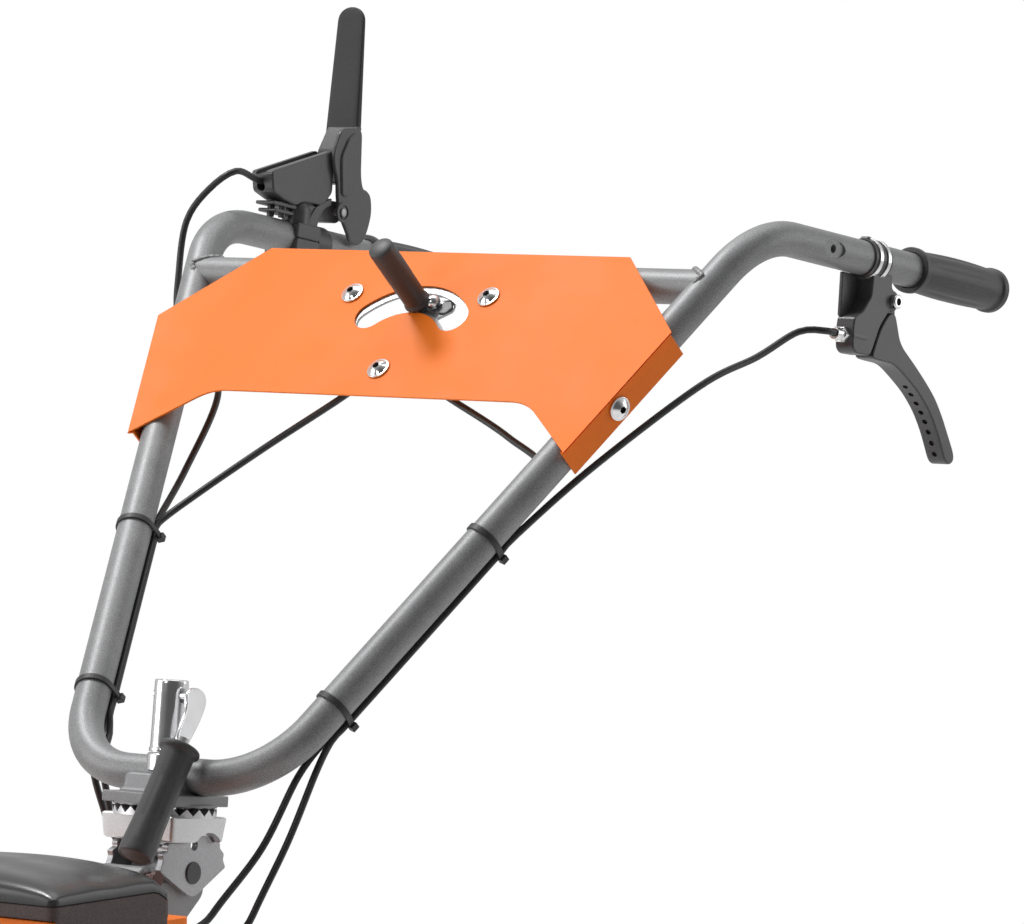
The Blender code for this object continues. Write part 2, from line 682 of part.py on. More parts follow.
def grips():
    """A ribbed rubber sleeve on each handle, with a collar at its inner end and a bead at its outer one."""
    bore = TUBE_R + CLEAR
    outer = bore + GRIP_WALL
    start = HANDLE_LENGTH + CLEAR + GRIP_WALL - GRIP_LENGTH
    end = start + GRIP_LENGTH
    for side, parent in HANDLE_FRAMES.items():
        profile = [(0.0, end), (outer * 0.80, end), (GRIP_BEAD_R, end - 0.0035), (GRIP_BEAD_R, end - 0.0090),
                   (outer, end - 0.0125), (outer, start + 0.006),
                   (GRIP_FLANGE_R, start + 0.0045), (GRIP_FLANGE_R, start), (bore, start),
                   (bore, HANDLE_LENGTH + CLEAR), (0.0, HANDLE_LENGTH + CLEAR)]
        turned(side + "_grip", profile, parent, BLACK_RUBBER, turn=ALONG_Y, steps=20)


def handle_plate(name, outline, x, thick, parent, mat):
    """A plate across a handle's side: its outline is in (along, up) and its thickness runs along X."""
    return plate(name, outline, thick, parent, mat, at=(x, 0, 0), turn=(90, 0, 90))


def brake():
    """The brake lever's cast bracket on the left handle, with its adjuster, lever and pivot screw."""
    x = 0.0015
    ring_start, ring_end = 0.137, 0.176
    bore = TUBE_R + CLEAR
    wall = 0.0026
    profile = [(bore, ring_end), (bore + wall, ring_end), (bore + wall, ring_start), (bore, ring_start)]
    bracket = turned("brake_bracket", profile, LEFT, DARK_CAST, turn=ALONG_Y, steps=20)
    # The side wall hangs from the ring to the cable stop
    web = [(0.141, -0.0120), (0.174, -0.0120), (0.1765, -0.0200), (0.1775, -0.0300), (0.174, -0.0370),
           (0.1680, -0.0395),
           (0.1560, -0.0470), (0.1480, -0.0720), (0.1240, -0.0740), (0.1210, -0.0555), (0.1270, -0.0470),
           (0.1390, -0.0380), (0.1440, -0.0230)]
    join(bracket, handle_plate("brake_web", web, x, 0.0170, LEFT, DARK_CAST))
    # The thin front wall, which makes the open recess seen from the front
    join(bracket, handle_plate("brake_front_wall", [(0.1200, -0.0135), (0.1450, -0.0135), (0.1450, -0.0440),
                                                    (0.1270, -0.0480), (0.1200, -0.0440)], x - 0.0065,
                                                    0.0030, LEFT, DARK_CAST))
    stop_t, stop_up = 0.1245, -0.0620
    join(bracket, rod("brake_stop", 0.0085, 0.0170, LEFT, DARK_CAST, at=(x, stop_t + 0.004, stop_up),
                      turn=ALONG_Y, sides=12))
    cut(bracket, rod("brake_stop_bore", 0.0036 + CLEAR, 0.0160, LEFT, DARK_CAST,
                     at=(x, stop_t - 0.0005, stop_up), turn=ALONG_Y, sides=12))
    cut(bracket, rod("brake_ring_bore", bore, 0.10, LEFT, DARK_CAST, at=(0, 0.155, 0), turn=ALONG_Y,
                     sides=20))
    pivot = (0.1680, -0.0290)
    cut(bracket, rod("brake_pivot_bore", 0.0030 + CLEAR, 0.05, LEFT, DARK_CAST, at=(x, *pivot),
                     turn=ALONG_X, sides=12))
    # Room for the lever's hub between two ears
    slot = arc(*pivot, 0.0092, 10, 190, 6) + [(0.1575, -0.0420), (0.1555, -0.0620), (0.1950, -0.0620),
                                              (0.1950, -0.0275)]
    cut(bracket, handle_plate("brake_slot", slot, x, 0.0090 + 2 * CLEAR, LEFT, DARK_CAST))

    axis = frame("brake_axis", LEFT, FRAMES["left_levers"] @ Matrix.Translation((x, *pivot)))

    def about(points):
        return [(t - pivot[0], up - pivot[1]) for t, up in points]

    hub = arc(0, 0, 0.0078, 20, 200, 6)
    hub_plate = hub + about([(0.1604, -0.0420), (0.1610, -0.0560), (0.1720, -0.0600), (0.1780, -0.0540),
                             (0.1765, -0.0380)])
    lever = plate("brake_lever", hub_plate, 0.0090, axis, DARK_CAST, turn=(90, 0, 90))
    blade = about([(0.1590, -0.0482), (0.1690, -0.0478), (0.1790, -0.0500), (0.1830, -0.0600),
                   (0.2050, -0.0730), (0.2220, -0.0840), (0.2370, -0.0950),
                   (0.2490, -0.1080), (0.2590, -0.1210), (0.2690, -0.1340), (0.2700, -0.1400),
                   (0.2650, -0.1440),
                   (0.2580, -0.1420), (0.2500, -0.1300), (0.2420, -0.1190), (0.2300, -0.1060),
                   (0.2130, -0.0935),
                   (0.1940, -0.0840), (0.1770, -0.0765), (0.1600, -0.0750), (0.1502, -0.0735)])
    wide = plate("brake_blade", blade, 0.0170, axis, DARK_CAST, turn=(90, 0, 90))
    round_edges(wide, 0.0016, 1, 50)
    join(lever, wide)
    cut(lever, rod("brake_lever_bore", 0.0030 + CLEAR, 0.05, axis, DARK_CAST, turn=ALONG_X, sides=12))
    screw = [(0.0, 0.0150), (0.0022, 0.0150), (0.0050, 0.0140), (0.0056, 0.0120),
             (0.0056, 0.0170 / 2 + CLEAR),
             (0.0030, 0.0170 / 2 + CLEAR), (0.0030, -0.0120), (0.0, -0.0120)]
    turned("brake_pivot_screw", screw, LEFT, CHROME, at=(x, *pivot), turn=ALONG_X, steps=12)
    adjuster = [(0.0, 0.0070), (0.0036, 0.0070), (0.0036, -0.0050), (0.0066, -0.0050), (0.0066, -0.0115),
                (0.0048, -0.0120), (0.0048, -0.0190), (CABLE_R + CLEAR, -0.0190),
                (CABLE_R + CLEAR, -0.0110), (0.0, -0.0110)]
    turned("cable_adjuster", adjuster, LEFT, CHROME, at=(x, stop_t, stop_up), turn=ALONG_Y, steps=12)


def deadman():
    """The dead-man lever on the right handle: a wedge housing, a clamp, and a tall paddle with two cheeks."""
    pivot = (0.1410, 0.0280)
    housing_half = 0.0140
    bore = TUBE_R + CLEAR
    side = [(0.0540, 0.0450), (0.1235, 0.0735), (0.1270, 0.0600), (0.1275, 0.0430), (0.1180, 0.0300),
            (0.1130, 0.0200),
            (0.1050, 0.0165), (0.0950, 0.0200), (0.0700, 0.0280), (0.0560, 0.0310)]
    housing = handle_plate("deadman_housing", side, 0, 2 * housing_half, RIGHT, DARK_CAST)
    round_edges(housing, 0.0020, 1, 40)
    # The channel that the cable runs in, open at the top
    channel = [(0.0500, 0.0360), (0.1100, 0.0500), (0.1300, 0.0600), (0.1300, 0.0900), (0.0500, 0.0900)]
    cut(housing, handle_plate("deadman_channel", channel, -0.0020, 0.0110, RIGHT, DARK_CAST))
    # The saddle under it, which grips the tube
    saddle_length = 0.0300
    saddle = box("deadman_saddle", (0.0330, saddle_length, 0.0330), RIGHT, DARK_CAST,
                 at=(0, 0.1030, 0.0155), bevel=0.0030)
    join(housing, saddle)
    cheek_lug = handle_plate("deadman_lug", capsule_lug(0.1050, 0.0260, *pivot, 0.0090), 0, 0.0220, RIGHT,
                             DARK_CAST)
    join(housing, cheek_lug)
    cut(housing, rod("deadman_tube_bore", bore, 0.20, RIGHT, DARK_CAST, at=(0, 0.12, 0), turn=ALONG_Y,
                     sides=32))
    cut(housing, box("deadman_split", (0.10, 0.20, 0.05), RIGHT, DARK_CAST,
                     at=(0, 0.12, -0.0250 - CLEAR / 2)))
    cut(housing, rod("deadman_pin_bore", 0.0035 + CLEAR, 0.08, RIGHT, DARK_CAST, at=(0, *pivot),
                     turn=ALONG_X, sides=16))

    cap = box("deadman_clamp_cap", (0.0330, saddle_length, 0.0180), RIGHT, DARK_CAST,
              at=(0, 0.1030, -0.0090 - CLEAR), bevel=0.0030)
    cut(cap, rod("deadman_cap_bore", bore, 0.20, RIGHT, DARK_CAST, at=(0, 0.12, 0), turn=ALONG_Y, sides=32))

    axis = frame("deadman_axis", RIGHT, FRAMES["right_levers"] @ Matrix.Translation((0, *pivot)))

    def about(points):
        return [(t - pivot[0], up - pivot[1]) for t, up in points]

    cheek = about([(0.1290, 0.0560), (0.1290, 0.0480), (0.1330, 0.0370), (0.1345, 0.0270), (0.1400, 0.0205),
                   (0.1490, 0.0190),
                   (0.1540, 0.0100), (0.1590, 0.0040), (0.1650, 0.0060), (0.1710, 0.0130), (0.1755, 0.0230),
                   (0.1775, 0.0360), (0.1740, 0.0470), (0.1640, 0.0520), (0.1600, 0.0640), (0.1555, 0.0860),
                   (0.1530, 0.0950), (0.1400, 0.0950), (0.1290, 0.0760)])
    gap = 0.0150
    lever = handle_local_plate("deadman_lever", cheek, gap + 0.0018, 0.0036, axis)
    join(lever, handle_local_plate("deadman_cheek", cheek, -gap - 0.0018, 0.0036, axis))
    bridge = about([(0.1400, 0.0950), (0.1300, 0.0785), (0.1345, 0.0785), (0.1490, 0.0840),
                    (0.1555, 0.0700), (0.1590, 0.0700),
                    (0.1555, 0.0860), (0.1530, 0.0950)])
    join(lever, handle_local_plate("deadman_bridge", bridge, 0, 2 * gap + 0.0060, axis))
    # The paddle narrows upwards, with a round top
    low, high = 0.0640, 0.1710
    wide, narrow = 0.0182, 0.0135
    paddle = ([(-wide, low), (wide, low), (narrow + 0.0012, high - 0.0130)]
              + arc(0, high - narrow, narrow, 10, 170, 6) + [(-narrow - 0.0012, high - 0.0130)])
    blade = plate("deadman_paddle", paddle, 0.0060, axis, DARK_CAST, at=(0, 0.0060, 0), turn=(90, 0, 0))
    round_edges(blade, 0.0016, 1, 50)
    join(lever, blade)
    cut(lever, rod("deadman_lever_bore", 0.0035 + CLEAR, 0.08, axis, DARK_CAST, turn=ALONG_X, sides=16))
    pin_end = gap + 0.0036 + 0.0015
    pin = [(0.0, pin_end), (0.0020, pin_end), (0.0052, pin_end - 0.0005), (0.0052, gap + 0.0036 + CLEAR),
           (0.0035, gap + 0.0036 + CLEAR),
           (0.0035, -gap - 0.0036 - CLEAR), (0.0052, -gap - 0.0036 - CLEAR), (0.0052, -pin_end),
           (0.0, -pin_end)]
    turned("deadman_pin", pin, RIGHT, CHROME, at=(0, *pivot), turn=ALONG_X, steps=12)


def capsule_lug(t0, up0, t1, up1, radius):
    """The outline of a bar with round ends between two points."""
    turn = atan2(up1 - up0, t1 - t0)
    length = hypot(t1 - t0, up1 - up0)
    return [(t0 + u * cos(turn) - v * sin(turn), up0 + u * sin(turn) + v * cos(turn)) for u,
            v in capsule(radius, length)]


def handle_local_plate(name, outline, x, thick, parent):
    """A plate across X in a lever's own frame."""
    return plate(name, outline, thick, parent, DARK_CAST, at=(x, 0, 0), turn=(90, 0, 90))


def tooth_ring(name, parent, mat, z, up):
    """A crown of radial teeth on a flat ring: tooth tips and gaps alternate round the ring."""
    def fill(bm):
        rings = []
        steps = TEETH * 2
        for radius in (TEETH_INNER_R, TEETH_OUTER_R):
            crest, foot = [], []
            for i in range(steps):
                a = 2 * pi * i / steps
                height = TOOTH_HEIGHT if i % 2 else TOOTH_FOOT
                crest.append(bm.verts.new((radius * cos(a), radius * sin(a), up * height)))
                foot.append(bm.verts.new((radius * cos(a), radius * sin(a), -up * 0.0010)))
            rings.append((crest, foot))
        (inner_top, inner_low), (outer_top, outer_low) = rings
        for i in range(steps):
            j = (i + 1) % steps
            bm.faces.new((inner_top[i], outer_top[i], outer_top[j], inner_top[j]))
            bm.faces.new((inner_low[j], outer_low[j], outer_low[i], inner_low[i]))
            bm.faces.new((outer_top[i], outer_low[i], outer_low[j], outer_top[j]))
            bm.faces.new((inner_top[j], inner_low[j], inner_low[i], inner_top[i]))
        bmesh.ops.recalc_face_normals(bm, faces=bm.faces)

    return settle(mesh_object(name, fill), parent, mat, at=(0, 0, z))


def clamp_group():
    """The swing plate under the handlebar, the toothed index block, the clamp nut and its folding lever."""
    tube_from_axis = -SWING_AXIS_Y * sin(SWING_LEAN)
    plate_top = tube_from_axis - TUBE_R - CLEAR
    plate_low = plate_top - SWING_PLATE_THICK
    tube_y = -SWING_AXIS_Y * cos(SWING_LEAN)
    swing = box("swing_plate", (PLATE_X, PLATE_Y, SWING_PLATE_THICK), SWING, ZINC,
                at=(0, 0, (plate_top + plate_low) / 2), bevel=0.0012)
    saddle = box("saddle", (SADDLE_X, SADDLE_Y, SADDLE_HEIGHT + 0.002), SWING, ZINC,
                 at=(0, tube_y, plate_top + SADDLE_HEIGHT / 2 - 0.001), bevel=0.0020)
    join(swing, saddle)
    cut(swing, rod("saddle_groove", TUBE_R + CLEAR, 0.12, BAR, ZINC, turn=ALONG_X, sides=20))
    join(swing, tooth_ring("upper_teeth", SWING, ZINC, plate_low, -1))
    cut(swing, rod("swing_bore", CLAMP_BOLT_R + CLEAR, 0.08, SWING, ZINC, sides=16))

    block_top = plate_low - 2 * TOOTH_HEIGHT - CLEAR
    block_low = block_top - INDEX_BLOCK_HEIGHT
    half_x, half_y = PLATE_X / 2, PLATE_Y / 2

    def fill(bm):
        bmesh.ops.create_cube(bm, size=1.0, matrix=Matrix.Diagonal((PLATE_X, PLATE_Y, INDEX_BLOCK_HEIGHT, 1)))
        for v in bm.verts:
            if v.co.z < 0:
                v.co.x *= 1 - INDEX_BLOCK_TAPER / half_x
                v.co.y *= 1 - INDEX_BLOCK_TAPER / half_y

    block = settle(mesh_object("index_block", fill), INDEX, ALUMINIUM, at=(0, 0, (block_top + block_low) / 2))
    round_edges(block, 0.0015, 1)
    join(block, tooth_ring("lower_teeth", INDEX, ALUMINIUM, block_top, 1))
    # The clamp bolt stands in the block and runs up through the plate and the tube into the nut
    stud_low, stud_high = block_low + 0.004, NUT_PIN_UP - NUT_PIN_R - 0.002
    join(block, rod("clamp_stud", CLAMP_BOLT_R, stud_high - stud_low, INDEX, ZINC,
                    at=(0, 0, (stud_high + stud_low) / 2), sides=16))

    # Side plates: serrated discs trimmed above and below
    pivot_local = FRAMES["index_frame"].inverted() @ (BASE + Vector((0, PIVOT_Y, PIVOT_Z)))
    up_to_block = block_low - pivot_local.z
    rim = []
    for i in range(SERRATIONS * 2):
        # A valley faces straight ahead, where the lock pin slides in
        a = pi * i / SERRATIONS + SWING_LEAN
        r = SERRATION_R - SERRATION_DEPTH * (1 if i % 2 == 0 else -1)
        rim.append((r * cos(a), r * sin(a)))
    trimmed = []
    for y, z in rim:
        if -SIDE_PLATE_DOWN - 0.002 < z < up_to_block:
            trimmed.append((y, z))
    ordered = sorted(trimmed, key=lambda p: atan2(p[1], p[0]))
    rear = [p for p in ordered if p[0] > 0]
    front = sorted([p for p in trimmed if p[0] < 0], key=lambda p: -p[1])
    outline = rear + front + arc(0, 0, SIDE_PLATE_DOWN, 240, 300, 4)
    sides = []
    for sign in (1, -1):
        x = sign * (SIDE_PLATE_X + SIDE_PLATE_THICK / 2)
        side = plate("side_plates" if sign > 0 else "far_side_plate", outline, SIDE_PLATE_THICK, INDEX, ZINC,
                     at=(x, pivot_local.y, pivot_local.z), turn=(90, 0, 90))
        cut(side, rod("side_plate_bore", PIVOT_BOLT_R + CLEAR, 0.02, INDEX, ZINC,
                      at=(x, pivot_local.y, pivot_local.z), turn=ALONG_X, sides=16))
        sides.append(side)
    spacer_up = up_to_block - 0.0052
    join(sides[0], sides[1], rod("plate_spacer", 0.0045, 2 * SIDE_PLATE_X + 0.002, INDEX, ZINC,
                                 at=(0, pivot_local.y - 0.0220, pivot_local.z + spacer_up), turn=ALONG_X,
                                 sides=12))
    cut(sides[0], rod("side_plate_hole", 0.0035, 0.08, INDEX, ZINC,
                      at=(0, pivot_local.y - 0.001, pivot_local.z + 0.0150), turn=ALONG_X, sides=12))

    # Clamp nut: a tall turned nut over the stud, with a foot that presses on the tube through a saddle washer
    washer_low = tube_from_axis + TUBE_R * 0.2
    washer = box("saddle_washer", (0.0300, 0.0250, NUT_LOW - washer_low), SWING, ZINC,
                 at=(0, tube_y * 0.5, (NUT_LOW + washer_low) / 2 - CLEAR), bevel=0.0010)
    cut(washer, rod("washer_groove", TUBE_R + 2 * CLEAR, 0.12, BAR, ZINC, turn=ALONG_X, sides=20))
    cut(washer, rod("washer_bore", CLAMP_BOLT_R + CLEAR, 0.08, SWING, ZINC, sides=16))
    nut_profile = [(0.0, NUT_HIGH), (NUT_R - 0.0012, NUT_HIGH), (NUT_R, NUT_HIGH - 0.0012),
                   (NUT_R, NUT_LOW + 0.006),
                   (NUT_R + 0.0022, NUT_LOW + 0.004), (NUT_R + 0.0022, NUT_LOW),
                   (CLAMP_BOLT_R + CLEAR, NUT_LOW),
                   (CLAMP_BOLT_R + CLEAR, stud_high + CLEAR), (0.0, stud_high + CLEAR)]
    nut = turned("clamp_nut", nut_profile, NUT, CHROME, steps=16)
    cut(nut, rod("nut_cross_bore", NUT_PIN_R + CLEAR, 0.06, NUT, CHROME, at=(0, 0, NUT_PIN_UP),
                 turn=ALONG_X, sides=16))
    # The folding lever: a cross pin in the nut, a cranked flat bar and a rubber grip
    lever = frame("clamp_lever_axis", NUT, FRAMES["nut_axis"] @ Matrix.Translation((0, 0, NUT_PIN_UP)))
    bar_x = LEVER_BAR_X - LEVER_BAR_THICK / 2
    hang = -90 - degrees(LEVER_HANG)
    half = LEVER_BAR_WIDTH / 2
    down_bar = Vector((cos(radians(hang)), sin(radians(hang))))
    knee = down_bar * LEVER_BAR_LENGTH
    crank = hang - degrees(LEVER_GRIP_CRANK)
    tail = Vector((cos(radians(crank)), sin(radians(crank))))
    across = Vector((-tail.y, tail.x))
    side = Vector((-down_bar.y, down_bar.x))
    tip = knee + tail * LEVER_BAR_TIP
    outline = (arc(0, 0, half + 0.0012, hang + 110, hang + 250, 8)
               + [tuple(knee - side * half * 0.80), tuple(tip - across * half * 0.62),
                  tuple(tip + across * half * 0.62), tuple(knee + side * half * 0.80)])
    bar = plate("clamp_lever", outline, LEVER_BAR_THICK, lever, CHROME, at=(bar_x, 0, 0), turn=(90, 0, 90))
    # The bar leans outwards on its way down, so the grip passes beside the plate
    lean = Matrix.Identity(4)
    lean[2][0], lean[2][1] = LEVER_OUTWARD * down_bar.x, LEVER_OUTWARD * down_bar.y
    bar.data.transform(lean)
    grip_x = bar_x + LEVER_OUTWARD * tip.dot(down_bar)
    pin_length = bar_x + NUT_R + 0.0015
    join(bar, rod("clamp_cross_pin", NUT_PIN_R, pin_length, lever, CHROME,
                  at=(bar_x - pin_length / 2, 0, 0), turn=ALONG_X, sides=12))
    # A round tang runs down inside the grip
    tang = 0.0045
    tang_length = LEVER_GRIP_LENGTH * 0.8
    middle = tip + tail * (tang_length / 2 - 0.006)
    down = (degrees(atan2(tail.y, tail.x)) + 90, 0, 0)
    join(bar, rod("clamp_tang", tang, tang_length, lever, CHROME, at=(grip_x, middle.x, middle.y),
                  turn=down, sides=12))
    bore = tang + CLEAR
    r = LEVER_GRIP_R
    end = -LEVER_GRIP_LENGTH
    tang_end = -(tang_length - 0.006 + CLEAR)
    top = tip + tail * (CLEAR + 0.0012)
    profile = [(0.0, tang_end), (bore, tang_end), (bore, 0.0), (r * 1.30, 0.0), (r * 1.36, -0.003),
               (r * 1.30, -0.006), (r * 0.98, -0.009), (r * 0.90, -0.040), (r * 0.98, end + 0.014),
               (r * 1.08, end + 0.010), (r * 1.08, end + 0.004), (r * 0.9, end), (0.0, end)]
    turned("clamp_lever_grip", profile, lever, BLACK_RUBBER, at=(grip_x, top.x, top.y), turn=down, steps=16)


# Frames of the lower machine
PIVOT = BASE + Vector((0, PIVOT_Y, PIVOT_Z))
LOCK_AHEAD = SERRATION_R + SERRATION_DEPTH + LOCK_PIN_R + CLEAR
HOOD_HINGE_Z = HOOD_SEAM_Z - HOOD_FRONT_DROP
LOCK = frame("lock_axis", MACHINE, Matrix.Translation(PIVOT - Vector((0, LOCK_AHEAD, 0))))
HOOD = frame("hood_axis", MACHINE, Matrix.Translation((0, AXLE_Y - HOOD_FRONT, HOOD_HINGE_Z)))
WHEELS = {sign: frame(name, MACHINE, Matrix.Translation((sign * TRACK / 2, AXLE_Y, TYRE_R)))
          for sign, name in ((1, "left_wheel_axis"), (-1, "right_wheel_axis"))}
HEAD = frame("head_tilt_axis", MACHINE, Matrix.Translation((0, AXLE_Y - HEAD_PIVOT_AHEAD, HEAD_PIVOT_Z)))
BRUSH = frame("brush_axis", HEAD, Matrix.Translation((0, AXLE_Y - BRUSH_AHEAD, 0)))


def across(name, outline, thick, mat, at_x=0.0, parent=None):
    """A plate across X in the machine's frame: its outline is in (behind the axle, up)."""
    return plate(name, [(y + AXLE_Y, z) for y, z in outline], thick, parent or MACHINE, mat,
                 at=(at_x, 0, 0), turn=(90, 0, 90))


def column():
    """The column that carries the height joint, its cross bolt and the sliding lock pin."""
    y0, z0 = PIVOT.y - AXLE_Y, PIVOT.z
    ear_y = y0 - LOCK_AHEAD
    head = arc(y0, z0, COLUMN_HEAD_R, 20, 176, 8)
    ear = arc(ear_y, z0, LOCK_EAR_R, 10, 190, 6)
    notch = z0 - COLUMN_NOTCH
    front = [(ear_y - LOCK_EAR_R, z0 - 0.020), (ear_y - 0.030, COLUMN_KNEE_Z + 0.020),
             (COLUMN_FRONT, COLUMN_KNEE_Z - 0.030),
             (COLUMN_FRONT, CHASSIS_Z + CLEAR)]
    rear = [(COLUMN_FRONT + COLUMN_DEPTH, CHASSIS_Z + CLEAR),
            (COLUMN_FRONT + COLUMN_DEPTH, COLUMN_KNEE_Z - 0.020),
            (y0 - 0.0033, z0 - 0.0379), (y0 + 0.0217, z0 - 0.0173)]
    outline = head + [(y0 - COLUMN_HEAD_R - 0.002, notch), (ear_y + LOCK_EAR_R, notch)] + ear + front + rear
    post = across("column", outline, 2 * (SIDE_PLATE_X - CLEAR), PAINTED_TUBE)
    cut(post, rod("column_bore", PIVOT_BOLT_R + CLEAR, 0.08, TILT, PAINTED_TUBE, turn=ALONG_X, sides=20))
    slot = capsule(LOCK_PIN_R + CLEAR, LOCK_TRAVEL, 5)
    cut(post, plate("lock_slot", slot, 0.08, LOCK, PAINTED_TUBE, turn=(90, 0, 90)))

    side = SIDE_PLATE_X + SIDE_PLATE_THICK + CLEAR
    bolt = [(0.0, side + 0.0060), (PIVOT_HEAD_R - 0.002, side + 0.0060), (PIVOT_HEAD_R, side + 0.0040),
            (PIVOT_HEAD_R, side), (PIVOT_BOLT_R, side), (PIVOT_BOLT_R, -side), (PIVOT_HEAD_R, -side),
            (PIVOT_HEAD_R, -side - 0.0060), (0.0, -side - 0.0060)]
    turned("height_pivot_bolt", bolt, MACHINE, ZINC, at=PIVOT, turn=ALONG_X, steps=12)
    pin_end = side + 0.0050
    pin = [(0.0, pin_end), (LOCK_PIN_R + 0.0020, pin_end), (LOCK_PIN_R + 0.0020, side + CLEAR),
           (LOCK_PIN_R, side + CLEAR),
           (LOCK_PIN_R, -side - CLEAR), (LOCK_PIN_R + 0.0020, -side - CLEAR),
           (LOCK_PIN_R + 0.0020, -pin_end), (0.0, -pin_end)]
    turned("height_lock_pin", pin, LOCK, PAINTED_SHEET, turn=ALONG_X, steps=12)


def chassis():
    """The folded tray with a front bush for the brush head, and the transaxle under it."""
    length = CHASSIS_FRONT + CHASSIS_REAR
    middle = AXLE_Y + (CHASSIS_REAR - CHASSIS_FRONT) / 2
    tray = box("chassis", (2 * CHASSIS_HALF_X, length, CHASSIS_SHEET), MACHINE, PAINTED_TUBE,
               at=(0, middle, CHASSIS_Z - CHASSIS_SHEET / 2))
    for sign in (1, -1):
        join(tray, box("tray_flange", (CHASSIS_SHEET, length, CHASSIS_FLANGE), MACHINE, PAINTED_TUBE,
                       at=(sign * (CHASSIS_HALF_X - CHASSIS_SHEET / 2), middle,
                           CHASSIS_Z - CHASSIS_FLANGE / 2)))
    bush_y = AXLE_Y - HEAD_PIVOT_AHEAD + BUSH_LENGTH / 2
    join(tray, box("bush_web", (BUSH_WEB, BUSH_LENGTH, CHASSIS_Z - HEAD_PIVOT_Z - 0.002), MACHINE,
                   PAINTED_TUBE,
                   at=(0, bush_y, (CHASSIS_Z + HEAD_PIVOT_Z - 0.002) / 2)))
    join(tray, rod("front_bush", BUSH_R, BUSH_LENGTH, MACHINE, PAINTED_TUBE, at=(0, bush_y, HEAD_PIVOT_Z),
                   turn=ALONG_Y, sides=16))
    cut(tray, rod("bush_bore", HEAD_SHAFT_R + CLEAR, 0.2, MACHINE, PAINTED_TUBE,
                  at=(0, bush_y, HEAD_PIVOT_Z), turn=ALONG_Y, sides=16))
    for x, y in CABLE_HOLES:
        cut(tray, rod("cable_hole", CABLE_R + CLEAR, 0.02, MACHINE, PAINTED_TUBE,
                      at=(x, AXLE_Y + y, CHASSIS_Z), sides=8))

    top = CHASSIS_Z - CHASSIS_SHEET - CLEAR
    low = TYRE_R - GEARBOX_BELOW
    case = box("transaxle", (2 * GEARBOX_HALF_X, GEARBOX_LENGTH, top - low), MACHINE, ALUMINIUM,
               at=(0, AXLE_Y, (top + low) / 2), bevel=0.010, segments=2)
    join(case, rod("axle_tube", AXLE_TUBE_R, 2 * AXLE_TUBE_HALF, MACHINE, ALUMINIUM, at=(0, AXLE_Y, TYRE_R),
                   turn=ALONG_X, sides=20))
    reach = TRACK / 2 + HUB_OUT - HUB_CAP - CLEAR
    join(case, rod("axle_shaft", AXLE_R, 2 * reach, MACHINE, ALUMINIUM, at=(0, AXLE_Y, TYRE_R),
                   turn=ALONG_X, sides=16))


def wheels():
    """Two steel rims with hand holes, each with a tyre of staggered lugs."""
    half = TYRE_WIDTH / 2
    for side, sign in (("left", 1), ("right", -1)):
        parent = WHEELS[sign]
        turn = (0, sign * 90, 0)
        bore = AXLE_R + CLEAR
        rim = [(0.0, HUB_OUT), (HUB_R, HUB_OUT), (HUB_R, 0.003), (RIM_R - 0.004, 0.003),
               (RIM_R - 0.004, BEAD + 0.003), (RIM_R + 0.006, BEAD + 0.003), (RIM_R + 0.006, BEAD + CLEAR),
               (RIM_R - CLEAR, BEAD + CLEAR), (RIM_R - CLEAR, -BEAD - CLEAR), (RIM_R + 0.006, -BEAD - CLEAR),
               (RIM_R - 0.004, -BEAD - 0.003), (RIM_R - 0.004, -0.001), (HUB_R, -0.001),
               (HUB_R, -HUB_IN), (bore, -HUB_IN), (bore, HUB_OUT - HUB_CAP), (0.0, HUB_OUT - HUB_CAP)]
        turned(side + "_rim", rim, parent, PAINTED_SHEET, turn=turn, steps=TYRE_STEPS)

        section = [(RIM_R, -BEAD), (RIM_R + 0.007, -BEAD), (RIM_R + 0.016, -half),
                   (TYRE_R - 0.022, -half), (TYRE_R - LUG - 0.003, -half + 0.007), (TYRE_R - LUG, 0.0),
                   (TYRE_R - LUG - 0.003, half - 0.007), (TYRE_R - 0.022, half), (RIM_R + 0.016, half),
                   (RIM_R + 0.007, BEAD), (RIM_R, BEAD)]

        def fill(bm):
            ring = [bm.verts.new((r, 0, z)) for r, z in section]
            edges = [bm.edges.new((a, b)) for a, b in zip(ring, ring[1:] + ring[:1])]
            bmesh.ops.spin(bm, geom=ring + edges, cent=(0, 0, 0), axis=(0, 0, 1), angle=2 * pi,
                           steps=TYRE_STEPS, use_merge=True)
            bmesh.ops.remove_doubles(bm, verts=bm.verts, dist=MERGE)
            bmesh.ops.recalc_face_normals(bm, faces=bm.faces)
            lugs = []
            for face in bm.faces:
                c = face.calc_center_median()
                if hypot(c.x, c.y) > TYRE_R - LUG - 0.006:
                    number = int(round((degrees(atan2(c.y, c.x)) % 360) / (360 / TYRE_STEPS) - 0.5))
                    if (number % 2 == 0) == (c.z > 0):
                        lugs.append(face)
            raised = bmesh.ops.extrude_discrete_faces(bm, faces=lugs)
            for face in raised["faces"]:
                middle = face.calc_center_median()
                for v in face.verts:
                    v.co = middle.lerp(v.co, LUG_TAPER)
                    r = hypot(v.co.x, v.co.y)
                    v.co.x *= TYRE_R / r
                    v.co.y *= TYRE_R / r

        settle(mesh_object(side + "_tyre", fill), parent, BLACK_RUBBER, turn=turn)


